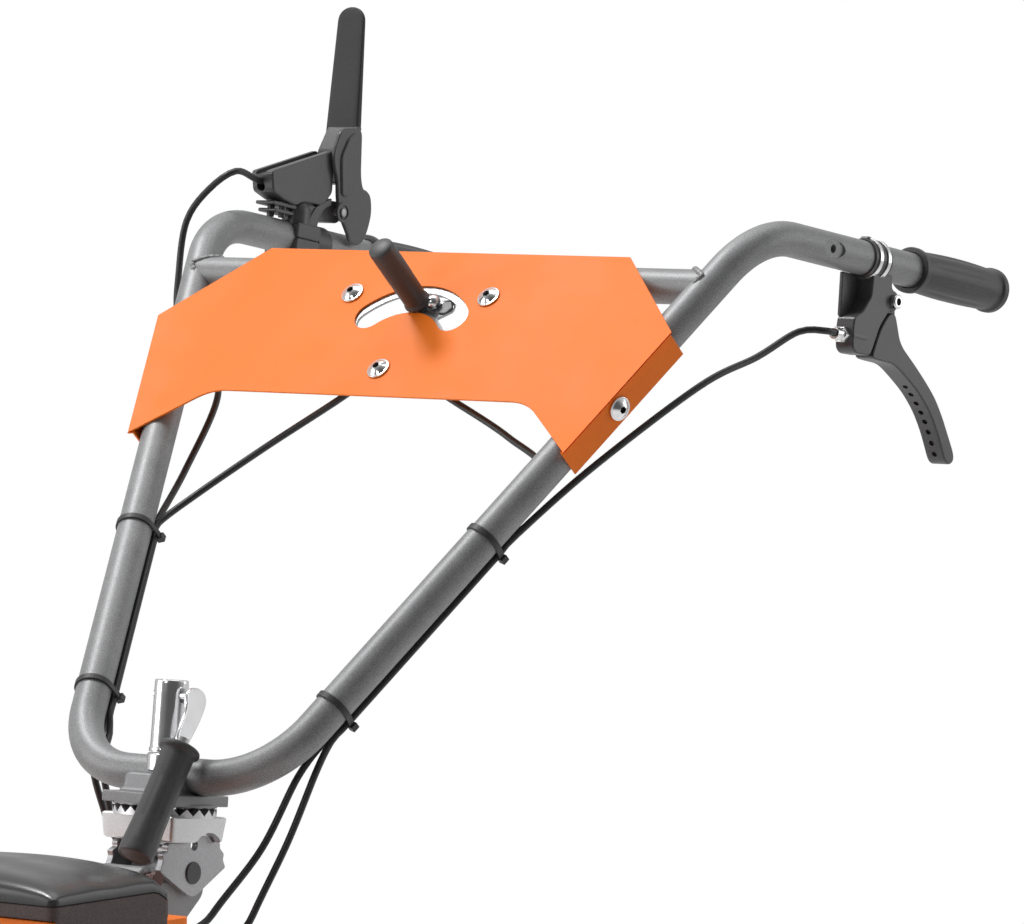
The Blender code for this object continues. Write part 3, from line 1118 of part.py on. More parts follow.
def body():
    """The battery housing on the tray, its hinged hood and the two batteries."""
    front, rear = AXLE_Y - BODY_FRONT, AXLE_Y + BODY_REAR
    floor, rim = CHASSIS_Z + CLEAR, BODY_TOP
    ledge_y = AXLE_Y + HOOD_REAR - HOOD_WALL - 2 * HOOD_GAP

    def walls(name, inset, y0, y1, z0, z1):
        outline = rounded_rectangle(BODY_HALF_X - inset, y0 + inset, y1 - inset, BODY_CORNER_R - inset)
        return plate(name, outline, z1 - z0, MACHINE, PAINTED_SHEET, at=(0, 0, (z0 + z1) / 2))

    shell = walls("body_shell", 0.0, front, rear, floor, rim)
    # The rear ledge stands lower than the rim, behind the hood
    cut(shell, box("ledge_cut", (0.4, 0.2, 0.1), MACHINE, PAINTED_SHEET,
                   at=(0, ledge_y + 0.1, BODY_LEDGE_Z + 0.05)))
    cut(shell, walls("battery_bay", BODY_WALL, front, ledge_y, BATTERY_FLOOR, rim + 0.1))
    cut(shell, walls("lower_bay", BODY_WALL, front, rear, floor - 0.1, BATTERY_FLOOR - BODY_WALL))
    for side, sign in (("left", 1), ("right", -1)):
        x = sign * (BATTERY_X / 2 + BATTERY_GAP)
        y = (front + ledge_y) / 2
        pack = box(side + "_battery", (BATTERY_X, BATTERY_Y, BATTERY_Z), MACHINE, BLACK_PLASTIC,
                   at=(x, y, BATTERY_FLOOR + CLEAR + BATTERY_Z / 2), bevel=0.006)
        top = BATTERY_FLOOR + CLEAR + BATTERY_Z
        handle = box(side + "_battery_handle", (BATTERY_X * 0.7, 0.020, 0.024), MACHINE, BLACK_PLASTIC,
                     at=(x, y, top + 0.008), bevel=0.003)
        cut(pack, box("battery_finger_gap", (BATTERY_X * 0.5, 0.06, 0.010), MACHINE, BLACK_PLASTIC,
                      at=(x, y, top + 0.003)))
        join(pack, handle)

    def hood_outline(inset, low):
        half = HOOD_HALF_X - inset
        crown = [(half * sin(radians(a)),
                  HOOD_SEAM_Z + (HOOD_CROWN - inset) * cos(radians(a)) ** HOOD_SHOULDER)
                 for a in range(-75, 76, 15)]
        return [(-half, low), (-half, HOOD_SEAM_Z)] + crown + [(half, HOOD_SEAM_Z), (half, low)]

    depth = HOOD_REAR + HOOD_FRONT
    mid_y = AXLE_Y + (HOOD_REAR - HOOD_FRONT) / 2 - (AXLE_Y - HOOD_FRONT)
    lift = -HOOD_HINGE_Z

    def hood_solid(name, inset, low, length, at_y):
        outline = [(x, z + lift) for x, z in hood_outline(inset, low)]
        return plate(name, outline, length, HOOD, GLOSS_BLACK, at=(0, at_y, 0), turn=(90, 0, 0))

    hood = hood_solid("battery_hood", 0.0, HOOD_SKIRT_Z, depth, mid_y)
    cut(hood, hood_solid("hood_inside", HOOD_WALL, HOOD_SKIRT_Z - 0.02, depth - 2 * HOOD_WALL, mid_y))
    # The front and rear walls end higher than the side skirts
    for name, at_y, low in (("hood_front_cut", 0.0, HOOD_HINGE_Z),
                            ("hood_rear_cut", depth, BODY_LEDGE_Z + 0.0025)):
        cut(hood, box(name, (2 * (HOOD_HALF_X - HOOD_WALL), 0.02, 0.06), HOOD, GLOSS_BLACK,
                      at=(0, at_y, low - 0.03 + lift)))


def brush_head():
    """The tilting head: frame, motor, gear housing, guard and the wire brush."""
    centre_y = -BRUSH_AHEAD + HEAD_PIVOT_AHEAD
    up = HEAD_PLATE_Z - HEAD_PIVOT_Z
    plate_rear = -HEAD_GAP
    plate_front = centre_y - HEAD_PLATE_REACH
    head = box("head_frame", (HEAD_PLATE_X, plate_rear - plate_front, HEAD_PLATE_THICK), HEAD, PAINTED_TUBE,
               at=(0, (plate_rear + plate_front) / 2, up), bevel=0.002)
    web_up = up + HEAD_PLATE_THICK / 2
    web_low = -HEAD_SHAFT_R - 0.004
    join(head, box("head_web", (0.070, 0.010, web_up - web_low), HEAD, PAINTED_TUBE,
                   at=(0, plate_rear - 0.005, (web_up + web_low) / 2)))
    shaft = BUSH_LENGTH + HEAD_GAP + 0.006
    join(head, rod("head_shaft", HEAD_SHAFT_R, shaft, HEAD, PAINTED_TUBE,
                   at=(0, BUSH_LENGTH + 0.004 - shaft / 2, 0), turn=ALONG_Y, sides=16))

    plate_top = up + HEAD_PLATE_THICK / 2 + CLEAR
    plate_low = up - HEAD_PLATE_THICK / 2 - CLEAR
    guard_top = GUARD_Z + GUARD_SHEET - HEAD_PIVOT_Z
    height = MOTOR_HEIGHT
    motor = [(0.0, height), (MOTOR_R - 0.014, height), (MOTOR_R - 0.004, height - 0.005),
             (MOTOR_R, height - 0.018),
             (MOTOR_R, 0.008), (MOTOR_R + 0.006, 0.004), (MOTOR_R + 0.006, 0.0), (0.0, 0.0)]
    turned("brush_motor", motor, HEAD, BLACK_PLASTIC, at=(0, centre_y, plate_top), steps=20)
    bore = BRUSH_SHAFT_R + CLEAR
    gear_foot = guard_top + CLEAR
    tall = plate_low - gear_foot
    gear = [(0.0, tall), (GEAR_R + 0.010, tall), (GEAR_R + 0.010, tall - 0.006), (GEAR_R, tall - 0.009),
            (GEAR_R, 0.009),
            (GEAR_R + 0.012, 0.005), (GEAR_R + 0.012, 0.0), (bore, 0.0), (bore, tall - 0.010),
            (0.0, tall - 0.010)]
    turned("gear_housing", gear, HEAD, ALUMINIUM, at=(0, centre_y, gear_foot), steps=16)

    inner = GUARD_R - GUARD_SHEET
    guard = [(GUARD_R, GUARD_SHEET), (GUARD_R, -GUARD_SKIRT), (inner, -GUARD_SKIRT), (inner, 0.0),
             (GUARD_HOLE_R, 0.0), (GUARD_HOLE_R, GUARD_SHEET)]
    cover = turned("brush_guard", guard, HEAD, PAINTED_SHEET, at=(0, centre_y, guard_top - GUARD_SHEET),
                   steps=GUARD_STEPS)
    # In front of the hub only a lip is left of the skirt
    skirt_cut = GUARD_SKIRT - GUARD_LIP
    cut(cover, box("skirt_cut", (3 * GUARD_R, 2 * GUARD_R, skirt_cut + 0.05), HEAD, PAINTED_SHEET,
                   at=(0, centre_y + GUARD_SKIRT_START - GUARD_R,
                       guard_top - GUARD_SHEET - GUARD_LIP - (skirt_cut + 0.05) / 2)))

    # The brush: a turned hub, disc and shaft, with the tufts of wire fused into the disc
    disc_top = BRUSH_DISC_Z + BRUSH_DISC_THICK / 2
    disc_low = BRUSH_DISC_Z - BRUSH_DISC_THICK / 2
    shaft_top = HEAD_PIVOT_Z + gear_foot + tall - 0.010 - CLEAR
    hub_top = GUARD_Z - 0.006
    profile = [(0.0, shaft_top), (BRUSH_SHAFT_R, shaft_top), (BRUSH_SHAFT_R, hub_top), (BRUSH_HUB_R, hub_top),
               (BRUSH_HUB_R, disc_top), (BRUSH_DISC_R, disc_top), (BRUSH_DISC_R, disc_low),
               (BRUSH_NUT_R, disc_low), (BRUSH_NUT_R, disc_low - 0.012), (0.0, disc_low - 0.012)]
    brush = turned("brush", profile, BRUSH, ZINC, steps=24)

    def strands(bm):
        for tuft in range(TUFTS):
            turn = Matrix.Rotation(2 * pi * (tuft + 0.5) / TUFTS, 4, "Z")
            for number in range(STRANDS_PER_TUFT):
                row, place = divmod(number, STRANDS_PER_TUFT // 2)
                offset = place - (STRANDS_PER_TUFT // 2 - 1) / 2
                root = turn @ Vector((BRISTLE_ROOT_R + row * BRISTLE_ROW, offset * BRISTLE_PITCH,
                                      disc_low + 0.004))
                tip = turn @ Vector((BRUSH_R - (1 - row) * 0.016 - abs(offset) * 0.002,
                                     offset * BRISTLE_PITCH * BRISTLE_FAN,
                                     BRISTLE_TIP_Z + row * 0.0015))
                line = tip - root
                place_matrix = Matrix.Translation((root + tip) / 2) @ line.to_track_quat("Z",
                                                            "Y").to_matrix().to_4x4()
                bmesh.ops.create_cone(bm, cap_ends=True, segments=3, radius1=STRAND_R, radius2=0.0,
                                      depth=line.length, matrix=place_matrix)

    join(brush, settle(mesh_object("strands", strands), BRUSH, WIRE))


def on_leg(sign, up, lateral, out):
    """A point beside a leg, in the handlebar base's frame: lateral is towards +X, out along the normal."""
    return in_plane(sign * leg_x(up) + lateral * cos(LEG_SLOPE), up - sign * lateral * sin(LEG_SLOPE), out)


def cables():
    """Four control cables, each in a stretch on the handlebar and one down to the tray, and their ties."""
    to_bar = FRAMES["handlebar_base"].inverted()

    def handle_point(side, along, up, x=0.0):
        return to_bar @ FRAMES[side + "_levers"] @ Vector((x, along, up))

    def tray_point(x, y, z):
        return to_bar @ Vector((x, AXLE_Y + y, z))

    shift_foot = GATE_ARCH_UP - 0.007
    shift_out = FRONT_OUT - SHEET - 2 * CLEAR - GATE_SHEET - 0.0040 - CABLE_R - CLEAR
    holes = [tray_point(x, y, CHASSIS_Z - CHASSIS_SHEET / 2) for x, y in CABLE_HOLES]
    above = [tray_point(x, y, CHASSIS_Z + 0.03) for x, y in CABLE_HOLES]
    routes = {
        "deadman_cable": (
            [handle_point("right", 0.080, 0.0470, -0.0020), handle_point("right", 0.052, 0.0415, -0.0020),
             Vector((-0.262, 0.393, 0.441)), Vector((-0.280, 0.380, 0.424)), Vector((-0.297, 0.373, 0.395)),
             Vector((-0.301, 0.368, 0.355)), Vector((-0.288, 0.352, 0.318)), Vector((-0.245, 0.330, 0.292)),
             Vector((-0.200, 0.296, 0.262)), Vector((-0.183, 0.236, 0.206))],
            [on_leg(-1, up, LOW_CABLE[-1][0], LOW_CABLE[-1][1]) for up in (0.240, TIE_HIGH_UP[-1], 0.200,
                                                            0.140, 0.095, 0.066)],
            [in_plane(-0.1030, 0.045, -0.0180), in_plane(-0.0960, 0.015, -0.0210),
             Vector((-0.091, 0.018, -0.045)),
             Vector((-0.082, 0.000, -0.105)),
             above[0], holes[0]]),
        "forward_cable": (
            [in_plane(-0.0115, shift_foot, shift_out), in_plane(-0.050, shift_foot - 0.020, -0.010),
             in_plane(-0.105, shift_foot - 0.062, -0.020),
             in_plane(-0.146, 0.280, -0.020)],
            [on_leg(-1, up, HIGH_CABLE[-1][0], HIGH_CABLE[-1][1]) for up in (0.240, TIE_HIGH_UP[-1], 0.200,
                                                            0.140, 0.095, 0.066)],
            [in_plane(-0.0950, 0.045, -0.0170), in_plane(-0.0850, 0.015, -0.0190),
             Vector((-0.080, 0.016, -0.045)),
             Vector((-0.069, 0.000, -0.105)),
             above[1], holes[1]]),
        "reverse_cable": (
            [in_plane(0.0115, shift_foot, shift_out), in_plane(0.060, shift_foot - 0.017, -0.010),
             in_plane(0.120, shift_foot - 0.042, -0.020),
             in_plane(0.170, 0.318, -0.022)],
            [on_leg(1, up, LOW_CABLE[1][0], LOW_CABLE[1][1]) for up in (0.255, TIE_HIGH_UP[1], 0.200, 0.140,
                                                            0.095, 0.066)],
            [Vector((0.096, 0.032, 0.006)), Vector((0.080, 0.020, -0.045)), Vector((0.070, -0.010, -0.095)),
             above[2], holes[2]]),
        "brake_cable": (
            [handle_point("left", 0.1245 - 0.0114, -0.0620, 0.0015),
             handle_point("left", 0.096, -0.0620, 0.0015),
             Vector((0.256, 0.440, 0.318)), Vector((0.246, 0.400, 0.300)), Vector((0.236, 0.340, 0.280)),
             Vector((0.206, 0.245, 0.222))],
            [on_leg(1, up, HIGH_CABLE[1][0], HIGH_CABLE[1][1]) for up in (0.255, TIE_HIGH_UP[1], 0.200,
                                                            0.140, 0.095, 0.066)],
            [Vector((0.106, 0.040, 0.010)), Vector((0.092, 0.024, -0.045)), Vector((0.082, -0.006, -0.095)),
             above[3], holes[3]]),
    }
    for name, (start, along, low) in routes.items():
        split = along[-1]
        turn = (along[-1] - along[-2]).normalized()
        upper = smooth_route(start + along, CABLE_STEP)
        curve_tube(name, upper, CABLE_R, BAR, BLACK_RUBBER)
        begin = split + turn * CLEAR
        lower = smooth_route([begin, begin + turn * 0.012] + low, CABLE_STEP)
        curve_tube(name + "_lower", lower, CABLE_R, BAR, BLACK_RUBBER)

    # A tie is a band round the leg and its two cables: the hull of three circles, less the same hull within
    def hull(circles, grow):
        count = 12
        points = [Vector((x + (r + grow) / cos(pi / count) * cos(2 * pi * i / count),
                          y + (r + grow) / cos(pi / count) * sin(2 * pi * i / count)))
                  for x, y, r in circles for i in range(count)]
        return [points[i] for i in geometry.convex_hull_2d(points)]

    number = 0
    for sign in (1, -1):
        for up in (TIE_HIGH_UP[sign], TIE_LOW_UP):
            number += 1
            circles = [(0, 0, TUBE_R), (*LOW_CABLE[sign], CABLE_R), (*HIGH_CABLE[sign], CABLE_R)]
            at = in_plane(sign * leg_x(up), up)
            turn = (Matrix.Rotation(pi / 2 - LEG_LEAN, 3, "X") @ Matrix.Rotation(-sign * LEG_SLOPE, 3, "Z")
                    @ Matrix.Rotation(-pi / 2, 3, "X"))
            flipped = [(x, -y, r) for x, y, r in circles]
            band = plate(f"cable_tie_{number}", hull(flipped, CLEAR + TIE_WALL), TIE_WIDTH, BAR,
                         BLACK_PLASTIC,
                         holes=(hull(flipped, CLEAR),))
            band.location = at
            band.rotation_euler = turn.to_euler()


def build():
    """Makes the handlebar group, then the machine under it."""
    handlebar()
    control_panel()
    shift_lever()
    grips()
    brake()
    deadman()
    clamp_group()
    column()
    chassis()
    wheels()
    body()
    brush_head()
    cables()


build()
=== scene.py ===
# %% [markdown]
# # A weed brush's handlebar and machine, dressed for the studio
#
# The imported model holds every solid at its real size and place. This lesson puts a finish on
# each of them, and where a solid is too plain to be looked at closely, it makes a finer surface
# that stands for it. Nothing here moves a solid: each new piece is worked out in the same metres.

# %% Load the frame and keep its box
import json
from math import atan, cos, pi, radians, sin, tan

import bmesh
import bpy
import numpy as np
from mathutils import Matrix, Vector, geometry


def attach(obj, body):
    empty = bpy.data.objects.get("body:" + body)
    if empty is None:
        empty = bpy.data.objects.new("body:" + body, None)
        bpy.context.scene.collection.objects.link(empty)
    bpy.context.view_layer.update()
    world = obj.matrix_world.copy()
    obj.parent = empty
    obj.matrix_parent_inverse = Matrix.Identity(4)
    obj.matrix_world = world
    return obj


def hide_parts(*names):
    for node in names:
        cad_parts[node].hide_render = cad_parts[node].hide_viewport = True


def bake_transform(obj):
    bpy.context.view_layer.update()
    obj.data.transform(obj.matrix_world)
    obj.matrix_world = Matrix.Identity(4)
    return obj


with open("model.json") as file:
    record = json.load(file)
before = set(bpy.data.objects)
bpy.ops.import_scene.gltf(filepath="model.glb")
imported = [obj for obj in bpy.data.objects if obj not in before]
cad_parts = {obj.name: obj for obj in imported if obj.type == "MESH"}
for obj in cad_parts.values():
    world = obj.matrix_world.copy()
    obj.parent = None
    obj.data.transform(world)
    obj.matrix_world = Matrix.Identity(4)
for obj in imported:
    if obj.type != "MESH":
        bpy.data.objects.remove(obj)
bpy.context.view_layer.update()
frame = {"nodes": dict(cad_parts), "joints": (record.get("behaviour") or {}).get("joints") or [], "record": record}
JOINTS = {joint["name"]: joint for joint in frame["joints"]}

# %% [markdown]
# ## The places that pieces are made in
#
# A designer draws a lever about its own pivot, and a sheet in its own plane. The same local
# places serve here: a matrix carries the points that are worked out about a pivot to where the
# pivot stands on the machine. The joints of the model say where the pivots are, so they need no
# measuring. World coordinates for every point would hide every plain size.

# %% Sizes that several pieces share
TUBE_R = 0.01345
LEG_LEAN = radians(43.24)
LEG_BASE_X = 0.09245
LEG_SPREAD = 0.323
LEG_SLOPE = atan(LEG_SPREAD)
LEG_TOP = 0.5437
BEND_R = 0.075
HANDLE_LENGTH = 0.311
HANDLE_DROP = radians(9.89)
HANDLE_TOE = radians(0.87)
CROSS_TUBE_UP = 0.4869
SWING_LEAN = radians(5.5)
GAP = 0.0003
SHEET = 0.0015
GATE_UP = 0.399
CASTING_X = 0.0015
BRAKE_ALONG, BRAKE_UP = 0.168, -0.029
DEADMAN_ALONG, DEADMAN_UP = 0.141, 0.028


# %% Local frames, from the joints and the handlebar's own angles
def joint_place(name):
    """Where a joint's axis stands, as a vector."""
    return Vector(JOINTS[name]["pos_m"])


def turned_about(axis, angle):
    """A 4 by 4 rotation."""
    return Matrix.Rotation(angle, 4, axis)


SWING = Matrix.Translation(joint_place("handlebar_swing")) @ turned_about("X", -SWING_LEAN)
BASE = joint_place("handlebar_swing") + Vector((0, 0.0025, 0))
BAR = Matrix.Translation(BASE)
LEGS = BAR @ turned_about("X", pi / 2 - LEG_LEAN)
TILT = Matrix.Translation(joint_place("handlebar_height"))


def leg_x(up):
    """How far a leg's centreline stands from the middle, at a height in the legs' plane."""
    return LEG_BASE_X + LEG_SPREAD * up


CORNER = LEGS.inverted() @ BASE + Vector((leg_x(LEG_TOP), LEG_TOP, 0))
HANDLE = {}
for side, sign in (("left", 1), ("right", -1)):
    corner = LEGS @ Vector((sign * CORNER.x, CORNER.y, 0))
    dropped = Matrix.Translation(corner) @ turned_about("X", -HANDLE_DROP)
    HANDLE[side] = dropped @ turned_about("Z", -sign * HANDLE_TOE)
LEFT, RIGHT = HANDLE["left"], HANDLE["right"]
BRAKE = LEFT @ Matrix.Translation((CASTING_X, BRAKE_ALONG, BRAKE_UP))
DEADMAN = RIGHT @ Matrix.Translation((0, DEADMAN_ALONG, DEADMAN_UP))
FRONT_OUT = TUBE_R + GAP + SHEET
ARM_OUT = FRONT_OUT - SHEET - 2 * GAP - 0.004
SHIFT = LEGS @ Matrix.Translation((0, GATE_UP, ARM_OUT)) @ turned_about("Z", -radians(10.2))
CLAMP = SWING @ Matrix.Translation((0, 0, 0.0585))
ALONG_X = turned_about("Y", pi / 2)
ALONG_Y = turned_about("X", -pi / 2)
ACROSS = turned_about("Z", pi / 2) @ turned_about("X", pi / 2)
print("handle corner", [round(c, 4) for c in LEFT.translation])

# %% [markdown]
# ## The camera and the studio
#
# The photograph was taken with a long lens, nearly level with the handlebar's middle, from the
# front and the operator's left. A long lens keeps the two legs of the bar almost parallel to
# how they really stand. The light is a white studio. A strong soft box high on the left makes the
# long highlights on the tubes, and a broad one lies overhead. Two walls of light stand at the
# sides, and a small one fills from the camera's left. One sun would be simpler, but it would draw
# a hard thin line on every tube.

# %% Camera
VIEW_AZIMUTH = radians(37.548)
VIEW_ELEVATION = radians(3.5506)
LENS_MM, SENSOR_MM = 242.08, 36.0
CAMERA_PLACE = (3.27866, -3.6882, 1.15401)
camera_data = bpy.data.cameras.new("studio_camera")
camera_data.lens = LENS_MM
camera_data.sensor_width = SENSOR_MM
camera = bpy.data.objects.new("studio_camera", camera_data)
camera.location = CAMERA_PLACE
camera.rotation_euler = (pi / 2 - VIEW_ELEVATION, 0, VIEW_AZIMUTH)
bpy.context.scene.collection.objects.link(camera)
bpy.context.scene.camera = camera

# %% Lights
TARGET = Vector((0.0, 0.35, 0.85))
SIDEWAYS = Vector((cos(VIEW_AZIMUTH), sin(VIEW_AZIMUTH), 0))
TOWARDS = Vector((sin(VIEW_AZIMUTH), -cos(VIEW_AZIMUTH), 0))


def soft_box(name, right, up, near, size, power):
    """A square area light that faces the handlebar from a place given in the camera's own directions."""
    data = bpy.data.lights.new(name, "AREA")
    data.shape = "SQUARE"
    data.size = size
    data.energy = power
    box = bpy.data.objects.new(name, data)
    box.location = TARGET + SIDEWAYS * right + Vector((0, 0, up)) + TOWARDS * near
    box.rotation_euler = (TARGET - box.location).to_track_quat("-Z", "Y").to_euler()
    bpy.context.scene.collection.objects.link(box)


soft_box("key", -1.45, 2.9, -0.5, 0.7, 66)
soft_box("overhead", 0.3, 2.7, -0.6, 2.2, 26)
soft_box("left_wall", -2.8, 0.5, 0.2, 1.6, 24)
soft_box("right_wall", 2.9, 0.6, -0.4, 1.6, 12)
soft_box("front_left", -1.9, 0.9, 2.3, 0.6, 9)

# %% [markdown]
# ## Shader maths that reads as arithmetic
#
# A procedural material is a chain of small sums. Written node by node it is hard to read, so
# one small class wraps a node's output and gives it plus, minus, times and a few more: an
# expression then adds its Math nodes by itself. Every other node comes from one method.

# %% Sockets
class Socket:
    """An output of a node, with arithmetic."""

    def __init__(self, recipe, link):
        self.recipe, self.link = recipe, link

    def maths(self, operation, first, second=None):
        """Adds a Math node."""
        inputs = {0: first} if second is None else {0: first, 1: second}
        return self.recipe.node("Math", {"operation": operation}, inputs)

    def __add__(self, other):
        return self.maths("ADD", self, other)

    def __sub__(self, other):
        return self.maths("SUBTRACT", self, other)

    def __rsub__(self, other):
        return self.maths("SUBTRACT", other, self)

    def __mul__(self, other):
        return self.maths("MULTIPLY", self, other)

    __radd__, __rmul__ = __add__, __mul__


# %% Recipes
class Recipe:
    """A material with one Principled shader, and short ways to add nodes to it."""

    def __init__(self, name, colour, roughness, metallic=0.0, **more):
        self.material = bpy.data.materials.new(name)
        self.material.use_nodes = True
        self.tree = self.material.node_tree
        self.shader = self.tree.nodes["Principled BSDF"]
        self.put("Base Color", (*colour, 1.0))
        self.put("Roughness", roughness)
        self.put("Metallic", metallic)
        for socket, value in more.items():
            self.put(socket.replace("_", " ").title().replace("Ior", "IOR"), value)
        self.here = self.node("TexCoord", output="Object")

    def put(self, socket, value, node=None):
        """Sets a socket of the shader, or of a node, to a value or a link."""
        target = (node or self.shader).inputs[socket]
        if isinstance(value, Socket):
            self.tree.links.new(value.link, target)
        else:
            target.default_value = value

    def node(self, kind, settings=None, inputs=None, output=0):
        """Adds a shader node: its settings first, then the values or links of its inputs."""
        made = self.tree.nodes.new("ShaderNode" + kind)
        for key, value in (settings or {}).items():
            setattr(made, key, value)
        for key, value in (inputs or {}).items():
            self.put(key, value, made)
        return Socket(self, made.outputs[output])

    def noise(self, scale, detail=2.0, roughness=0.5, stretch=None):
        """Noise over the object, in turns per metre, drawn out along an axis if asked."""
        place = self.here
        if stretch:
            place = self.node("Mapping", inputs={"Vector": self.here, "Scale": stretch})
        return self.node("TexNoise", inputs={"Vector": place, "Scale": scale, "Detail": detail,
                                             "Roughness": roughness})

    def mix(self, share, first, second):
        """A colour between two colours."""
        return self.node("Mix", {"data_type": "RGBA"}, {0: share, 6: first, 7: second}, output=2)

    def bump(self, height, depth, strength=1.0):
        """Feeds the normal from a height, with a depth in metres."""
        self.put("Normal", self.node("Bump", inputs={"Height": height, "Distance": depth,
                                                     "Strength": strength}))


# %% [markdown]
# ## The finishes
#
# The bar's powder coat is a dark grey with fine bright grains and a slight orange peel. The
# orange sheet has the same peel with no metal in it. Cast levers are matt black, rubber is
# duller still, and the bright parts are plated. Each finish gets its own grain, at the size
# that such a coat really has: tenths of a millimetre for the grains, a millimetre for the peel.

# %% Finishes and coats
GREY, ORANGE = (0.215, 0.217, 0.22), (0.88, 0.19, 0.014)
FINISHES, SLOT_OF = {}, {}
CLOUD_TURNS, PEEL_DEPTH = 28.0, 0.00012


def finish(name, slot, colour, roughness, metallic=0.0, **more):
    """Starts a finish, known by its name, that stands for one of the record's slots."""
    FINISHES[name] = Recipe(name, colour, roughness, metallic, **more)
    SLOT_OF[name] = slot
    return FINISHES[name]


def shades(colour, *factors):
    """Lighter and darker copies of a colour, with alpha."""
    return [(*(min(1.0, c * f) for c in colour), 1.0) for f in factors]


def coat(name, slot, colour, roughness, metallic, grain, peel, low=0.8, high=1.25, more=None):
    """A painted or moulded surface: fine grains change its colour, and a coarser peel its height."""
    made = finish(name, slot, colour, roughness, metallic, **(more or {}))
    dark, light = shades(colour, low, high)
    speck = made.noise(grain, 1.0, 0.4)
    cloud = made.noise(CLOUD_TURNS, 2.0)
    share = (speck - 0.5) * 1.6 + (cloud - 0.5) * 0.5 + 0.5
    made.put("Base Color", made.mix(share, dark, light))
    made.put("Roughness", (cloud - 0.5) * 0.16 + roughness)
    made.bump(made.noise(peel, 2.0, 0.55), PEEL_DEPTH, 0.5)
    return made


# %% The coats, the metals and the rubber
coat("grey_powder_coat", "painted_tube", GREY, 0.48, 0.3, 1700.0, 900.0, 0.55, 1.75)
coat("orange_powder_coat", "orange_paint", ORANGE, 0.5, 0.0, 1500.0, 800.0, 0.93, 1.07,
     {"specular_ior_level": 0.22})
coat("black_cast", "dark_cast", (0.058, 0.058, 0.06), 0.34, 0.0, 1300.0, 700.0, 0.75, 1.35)
coat("matt_sleeve", "dark_cast", (0.024, 0.024, 0.025), 0.62, 0.0, 1500.0, 900.0, 0.8, 1.25)
coat("soft_rubber", "black_rubber", (0.048, 0.048, 0.049), 0.46, 0.0, 900.0, 600.0, 0.8, 1.25)
coat("cable_sheath", "black_rubber", (0.022, 0.022, 0.023), 0.42, 0.0, 900.0, 500.0)
coat("tyre_rubber", "tyre", (0.03, 0.03, 0.031), 0.72, 0.0, 700.0, 350.0, 0.7, 1.4)
coat("black_moulding", "black_plastic", (0.03, 0.03, 0.032), 0.5, 0.0, 900.0, 600.0)
coat("textured_cover", "gloss_black", (0.055, 0.037, 0.035), 0.6, 0.0, 700.0, 420.0, 0.6, 1.6)
coat("zinc_plate", "zinc_steel", (0.4, 0.4, 0.41), 0.44, 0.75, 900.0, 700.0, 0.85, 1.15)
# A darker copy of the zinc plate, for the saddle plate and its upper crown. On the crown it is painted shade, for
# the shadow under the plate.
coat("darker_steel_and_shade", "zinc_steel", (0.24, 0.24, 0.245), 0.5, 0.55, 900.0, 700.0, 0.85, 1.15)
coat("red_primer", "orange_paint", (0.08, 0.022, 0.016), 0.45, 0.0, 900.0, 700.0, 0.85, 1.15)
coat("blasted_aluminium", "aluminium", (0.7, 0.7, 0.71), 0.42, 0.85, 1100.0, 800.0, 0.9, 1.1)
gloss = finish("gloss_cover", "gloss_black", (0.032, 0.032, 0.033), 0.2)
gloss.put("Roughness", gloss.noise(30.0) * 0.14 + 0.2)
gloss.bump(gloss.noise(260.0, 3.0), 0.0001, 0.25)
chrome = finish("bright_chrome", "chrome", (0.8, 0.8, 0.81), 0.12, 1.0)
chrome.put("Roughness", chrome.noise(60.0) * 0.1 + 0.13)
wire = finish("spring_wire", "bristle_wire", (0.34, 0.33, 0.32), 0.38, 0.9)
wire.put("Base Color", wire.mix(wire.noise(220.0), *shades((0.34, 0.32, 0.3), 0.6, 1.35)))
finish("socket_shade", "black_plastic", (0.004, 0.004, 0.004), 0.9)
print("finishes", len(FINISHES))

# %% Every solid of the frame gets its slot's finish
BY_SLOT = {"painted_tube": "grey_powder_coat", "orange_paint": "orange_powder_coat",
           "dark_cast": "black_cast", "zinc_steel": "zinc_plate", "chrome": "bright_chrome",
           "aluminium": "blasted_aluminium", "black_rubber": "soft_rubber", "tyre": "tyre_rubber",
           "black_plastic": "black_moulding", "gloss_black": "gloss_cover", "bristle_wire": "spring_wire"}
for row in frame["record"]["subparts"]:
    node = frame["nodes"][row["node"]]
    node.data.materials.clear()
    node.data.materials.append(FINISHES[BY_SLOT[row["material_slot"]]].material)

# %% [markdown]
# ## Surfaces from arrays
#
# Most metal and rubber parts are one of four things: a profile turned about an axis, a section
# carried along a path, an outline pulled up to a thickness, or a row of unlike sections. All of
# them are grids of points, so one function makes the mesh, and the others only say where the
# points are. Modelling by hand would do as well, but a formula keeps every edge even.

# %% From a grid to a mesh
WELD = 1e-6
SHARP_ANGLE = radians(32)


def mesh_piece(name, points, faces, place=None, angle=SHARP_ANGLE):
    """Welds points and faces, turns the faces outwards and moves the mesh to its place."""
    mesh = bpy.data.meshes.new(name)
    mesh.from_pydata(np.asarray(points, float).reshape(-1, 3).tolist(), [], faces)
    work = bmesh.new()
    work.from_mesh(mesh)
    bmesh.ops.remove_doubles(work, verts=work.verts, dist=WELD)
    bmesh.ops.recalc_face_normals(work, faces=work.faces)
    work.to_mesh(mesh)
    work.free()
    if place is not None:
        mesh.transform(place)
    mesh.shade_smooth()
    mesh.set_sharp_from_angle(angle=angle)
    piece = bpy.data.objects.new(name, mesh)
    bpy.context.scene.collection.objects.link(piece)
    return piece


def grid_faces(rows, count, close_rows=False, close_ring=True):
    """Quads between neighbours of a grid of rows by count points."""
    i = np.arange(rows if close_rows else rows - 1)[:, None]
    j = np.arange(count if close_ring else count - 1)[None, :]
    here, there = i * count, ((i + 1) % rows) * count
    after = (j + 1) % count
    return np.stack([here + j, here + after, there + after, there + j], -1).reshape(-1, 4).tolist()


